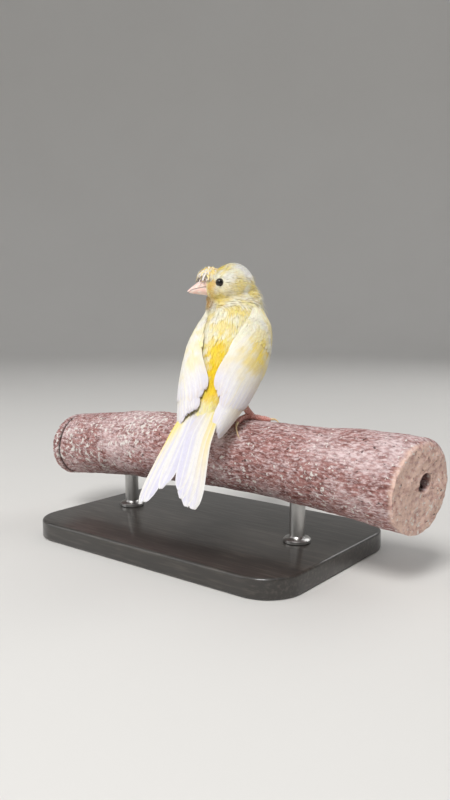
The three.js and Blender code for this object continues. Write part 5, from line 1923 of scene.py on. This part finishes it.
class CANARY_OT_branch(bpy.types.Operator):
    """Make the branch with its groove, sawn end and screw hole"""

    bl_idname = "canary.branch"
    bl_label = "Branch"

    def execute(self, context):
        bm = bmesh.new()
        left_rings, right_rings, along_rings = 14, 34, 300
        rows, sides = left_rings + along_rings + right_rings, 240
        made, co = grid(bm, rows, sides, 0.5)
        row = np.rint((co[:, 0] + 0.5) * rows)
        angle = (co[:, 1] + 0.5) * TURN_ROUND
        left = np.clip(1 - row / left_rings, 0, 1)
        right = np.clip((row - left_rings - along_rings) / right_rings, 0, 1)
        t = np.clip((row - left_rings) / along_rings, 0, 1)
        t = np.where(t > 0.9, 0.9 + 0.1 * np.sin(math.pi / 2 * (t - 0.9) / 0.1), t)
        points = self.surface(lerp(PERCH["left"], PERCH["right"], t), angle)
        out = 1 - left
        centre_left = np.array([PERCH["left"], 0, sag_at(PERCH["left"])])
        points = np.where(left[:, None] > 0, lerp(centre_left, points, out[:, None]), points)
        points[:, 0] += (0.4 * smooth(out, 0.9, 1.0) + 0.2 * ripple(points, 5, 81)) * (left > 0)
        points = self.sawn_end(points, right, angle)
        put(made, points)
        bmesh.ops.remove_doubles(bm, verts=bm.verts, dist=1e-4)
        self.wear(bm)
        local = coords(bm.verts)
        past, reach = self.past_cut(local), self.from_hole(local)
        from_left = local[:, 0] - PERCH["left"]
        end = smooth(past + 0.12 * ripple(local, 3, 89) * 4, -2.6, -0.3)
        end = np.maximum(end, smooth(0.6 - from_left, 0, 0.5))
        # Painted shade for the groove and the screw hole's depth, kept in the Shade attribute and drawn near
        # black by the finish
        groove = np.exp(-(((from_left - PERCH_GROOVE["inset"]) / (PERCH_GROOVE["width"] * 0.62)) ** 4))
        pit = smooth(-past, 1.2, 3.5) * smooth(reach, PERCH_HOLE["radius"] + 0.6, 3.6) * (local[:, 0] > 80)
        dark = np.maximum(groove, 0.75 * pit)
        mesh = finished(bm, "branch_wood", perch_to_part)
        for name, values in (("End", end), ("Shade", dark)):
            layer = mesh.attributes.new(name, "FLOAT", "POINT")
            layer.data.foreach_set("value", values.astype(np.float32))
        finish = branch_finish("Branch wood", context.scene.canary_looks)
        show("branch_wood", mesh, finish, ("perch",))
        return {"FINISHED"}

    def surface(self, x, angle):
        """The branch's side: lumps, worn bark, knots and a groove near its left end."""
        lump = 0.22 * np.sin(2 * angle + x / 13) + 0.18 * np.sin(3 * angle - x / 7)
        radius = perch_radius(x) + lump * smooth(np.abs(x), 20, 50)
        wheel = joined(x, 17 * np.sin(angle), 17 * np.cos(angle))
        bark = 0.07 * ripple(wheel * (0.45, 1, 1), 1.5, 83) + 0.06 * ripple(wheel, 1.7, 84)
        dents = 0.16 * ripple(wheel * (0.6, 1, 1), 8, 85)
        for knot_x, knot_angle, size, height in BRANCH_KNOTS:
            turned = (angle - math.radians(knot_angle) + math.pi) % TURN_ROUND - math.pi
            off = np.hypot(x - knot_x, 17 * turned) / size
            dents = dents + height * (np.exp(-(off**2)) - 0.8 * np.exp(-((off / 0.4) ** 2)))
        under_bird = np.exp(-((x / 22) ** 4)) * smooth(np.cos(angle), -0.2, 0.5)
        radius = radius + (bark + dents) * (1 - 0.85 * under_bird) - 0.08
        from_left = x - PERCH["left"]
        groove = np.exp(-(((from_left - PERCH_GROOVE["inset"]) / (PERCH_GROOVE["width"] / 2)) ** 4))
        rim = 1 - np.sqrt(1 - np.clip(1 - from_left, 0, 1) ** 2)
        radius = radius - PERCH_GROOVE["depth"] * groove - 0.6 * rim
        return joined(x, -radius * np.sin(angle), perch_sag(x) + radius * np.cos(angle))

    def cut_plane(self):
        """The saw cut's place and the way it faces."""
        normal = rotation("Z", -PERCH_CUT["turn"]) @ rotation("Y", PERCH_CUT["dip"]) @ np.array([1.0, 0, 0])
        at = np.array([PERCH["right"] - PERCH_CUT["inset"], 0, sag_at(PERCH["right"])])
        return at, normal

    def past_cut(self, points):
        at, normal = self.cut_plane()
        return (points - at) @ normal

    def hole_middle(self):
        at, normal = self.cut_plane()
        across = unit(np.cross((0, 0, 1.0), normal))
        return at + across * PERCH_HOLE["y"] + np.cross(normal, across) * PERCH_HOLE["z"]

    def from_hole(self, points):
        """Distance from the screw hole's axis."""
        _, normal = self.cut_plane()
        spread = points - self.hole_middle()
        return size_of(spread - np.outer(spread @ normal, normal))

    def sawn_end(self, points, right, angle):
        """Brings the right end to the saw cut and sinks the screw hole into it."""
        _, normal = self.cut_plane()
        hole = self.hole_middle()
        over = np.maximum(self.past_cut(points), 0)
        points = points - np.outer(over / normal[0], (1, 0, 0))
        spread = points - hole
        flat = spread - np.outer(spread @ normal, normal)
        reach, way = size_of(flat), unit(flat)
        # from the worn rim in to the hole's mouth, down its wall and across its floor
        share = np.clip(right / 0.62, 0, 1)
        wall, floor = np.clip((right - 0.62) / 0.22, 0, 1), np.clip((right - 0.84) / 0.16, 0, 1)
        radius = PERCH_HOLE["radius"] * (1 + 0.03 * np.sin(3 * angle) + 0.02 * np.sin(7 * angle))
        distance = lerp(reach, radius, share) * (1 - floor)
        spot = distance[:, None] * joined(np.cos(angle), np.sin(angle), 0.0)
        rough = 0.16 * ripple(spot * (2, 0.5, 1), 2.4, 87) + 0.3 * ripple(spot, 6, 88)
        ring = -0.5 * smooth(distance, 9.5, 8.2) * smooth(distance, 4.4, 5.2)
        face = (rough + ring - 0.5 * smooth(share, 0.9, 1)) * (wall == 0)
        new = hole + way * distance[:, None] + np.outer(face - PERCH_HOLE["depth"] * wall, normal)
        return np.where(right[:, None] > 0, new, points)

    def wear(self, bm):
        """Rounds the rim of the sawn end, as handling has."""
        points = coords(bm.verts)
        worn = (self.past_cut(points) > -4.5) & (points[:, 0] > 80) & (self.from_hole(points) > 7)
        bm.verts.ensure_lookup_table()
        verts = [bm.verts[i] for i in np.flatnonzero(worn)]
        every_way = {"use_axis_x": True, "use_axis_y": True, "use_axis_z": True}
        for _ in range(14):
            bmesh.ops.smooth_vert(bm, verts=verts, factor=0.5, **every_way)
        points = coords(bm.verts)
        lumps = 0.22 * ripple(points, 4.5, 90) + 0.1 * ripple(points, 2, 91)
        _, normal = self.cut_plane()
        put(verts, points[worn] + np.outer(lumps[worn], normal))


class CANARY_OT_stand(bpy.types.Operator):
    """Make the display stand"""

    bl_idname = "canary.stand"
    bl_label = "Stand"

    def execute(self, context):
        stand, looks = context.scene.canary_stand, context.scene.canary_looks
        bm = bmesh.new()
        size = Matrix.Diagonal((stand.length, stand.width, stand.thickness, 1))
        bmesh.ops.create_cube(bm, size=1, matrix=Matrix.Translation((0, 0, stand.thickness / 2)) @ size)
        upright = [e for e in bm.edges if abs(e.verts[0].co.z - e.verts[1].co.z) > stand.thickness / 2]
        bevelled(bm, upright, stand.corner, 16)
        rims = [e for e in bm.edges if abs(e.verts[0].co.z - e.verts[1].co.z) < 1e-6]
        bevelled(bm, rims, stand.bevel, 4)
        lacquer = lacquer_finish("Lacquer", tuple(looks.base))
        plate = show_bmesh("stand_plate", bm, lacquer, ("stand_base",), as_is)
        plate.data.set_sharp_from_angle(angle=math.radians(40))
        steel = steel_finish("Brushed steel", tuple(looks.rod))
        for word, side in SIDES:
            foot = stand.thickness + PIECE_GAP
            x = side * stand.spacing / 2
            local = x / MM - BIRD_X
            under = PERCH_HEIGHT + sag_at(local) - float(perch_radius(np.float64(local)))
            top = (under + 0.5) * MM  # the post ends in the branch's bark
            outline = [(0, foot)] + [(stand.collar + r, foot + z) for r, z in COLLAR_LINE]
            outline += [(stand.radius + r, foot + z) for r, z in POST_LINE] + [(stand.radius, top), (0, top)]
            rod, solid = turned(outline, x, 48), "stand_rod_" + word
            post = show_bmesh("stand_post_" + word, rod, steel, (solid,), as_is)
            post.data.set_sharp_from_angle(angle=math.radians(35))
        return {"FINISHED"}


class CANARY_OT_stage(bpy.types.Operator):
    """Make the floor, the backdrop, the lights and the camera"""

    bl_idname = "canary.stage"
    bl_label = "Stage"

    def execute(self, context):
        scene = context.scene
        stage, looks = scene.canary_stage, scene.canary_looks
        outline = [(0, 0), (FLOOR_REACH, 0)]
        for a in np.linspace(0.1, math.pi / 2, 14):
            outline.append((FLOOR_REACH + COVE_RADIUS * math.sin(a), COVE_RADIUS * (1 - math.cos(a))))
        outline.append((FLOOR_REACH + COVE_RADIUS, WALL_HEIGHT))
        mesh = finished(turned(outline, 0, 96), "floor", as_is)
        mesh.polygons.foreach_set("use_smooth", np.ones(len(mesh.polygons), bool))
        mesh.materials.append(stage_finish("Floor", tuple(looks.floor)))
        floor = bpy.data.objects.new("floor", mesh)
        scene.collection.objects.link(floor)
        for name, setting, share, size, at in LIGHTS:
            light = bpy.data.lights.new(name, "AREA")
            light.energy, light.size = getattr(stage, setting) * share, size
            lamp = bpy.data.objects.new(name, light)
            lamp.location = at
            lamp.rotation_euler = (Vector(LIT_POINT) - Vector(at)).to_track_quat("-Z", "Y").to_euler()
            scene.collection.objects.link(lamp)
        world = bpy.data.worlds.new("Surround")
        world.use_nodes = True
        ground = world.node_tree.nodes["Background"]
        ground.inputs["Color"].default_value = (0.93, 0.95, 1.0, 1)
        ground.inputs["Strength"].default_value = stage.sky
        scene.world = world
        scene.view_settings.view_transform = "Standard"
        camera = bpy.data.objects.new("camera", bpy.data.cameras.new("camera"))
        camera.location = CAMERA_AT
        turn, level = CAMERA_AZIMUTH, math.cos(CAMERA_PITCH)
        way = Vector((-math.sin(turn) * level, math.cos(turn) * level, math.sin(CAMERA_PITCH)))
        camera.rotation_euler = way.to_track_quat("-Z", "Y").to_euler()
        camera.data.lens, camera.data.sensor_width = CAMERA_LENS, 36
        camera.data.clip_start, camera.data.clip_end = 0.01, 20
        scene.collection.objects.link(camera)
        scene.camera = camera
        return {"FINISHED"}


class CANARY_PT_panel(bpy.types.Panel):
    """Lists the pieces in the order that they are made"""

    bl_idname = "CANARY_PT_panel"
    bl_label = "Canary"
    bl_space_type = "VIEW_3D"
    bl_region_type = "UI"
    bl_category = "Canary"

    def draw(self, context):
        column = self.layout.column()
        for operator in OPERATORS:
            column.operator(operator.bl_idname)
        for settings in (context.scene.canary_coat, context.scene.canary_crest, context.scene.canary_stand):
            for name in settings.__annotations__:
                column.prop(settings, name)


SETTINGS = {
    "canary_looks": CanaryLooks,
    "canary_coat": CanaryCoat,
    "canary_crest": CanaryCrest,
    "canary_stand": CanaryStand,
    "canary_stage": CanaryStage,
}
OPERATORS = (
    CANARY_OT_skin,
    CANARY_OT_coat,
    CANARY_OT_wings,
    CANARY_OT_tail,
    CANARY_OT_crest,
    CANARY_OT_eyes,
    CANARY_OT_bill,
    CANARY_OT_legs,
    CANARY_OT_branch,
    CANARY_OT_stand,
    CANARY_OT_stage,
)


def register():
    for settings in SETTINGS.values():
        bpy.utils.register_class(settings)
    for name, settings in SETTINGS.items():
        setattr(bpy.types.Scene, name, PointerProperty(type=settings))
    for operator in OPERATORS:
        bpy.utils.register_class(operator)
    bpy.utils.register_class(CANARY_PT_panel)


def unregister():
    bpy.utils.unregister_class(CANARY_PT_panel)
    for operator in reversed(OPERATORS):
        bpy.utils.unregister_class(operator)
    for name, settings in SETTINGS.items():
        delattr(bpy.types.Scene, name)
        bpy.utils.unregister_class(settings)


def main():
    register()
    bpy.ops.canary.skin()
    bpy.ops.canary.coat()
    bpy.ops.canary.wings()
    bpy.ops.canary.tail()
    bpy.ops.canary.crest()
    bpy.ops.canary.eyes()
    bpy.ops.canary.bill()
    bpy.ops.canary.legs()
    bpy.ops.canary.branch()
    bpy.ops.canary.stand()
    bpy.ops.canary.stage()


if __name__ == "__main__":
    main()
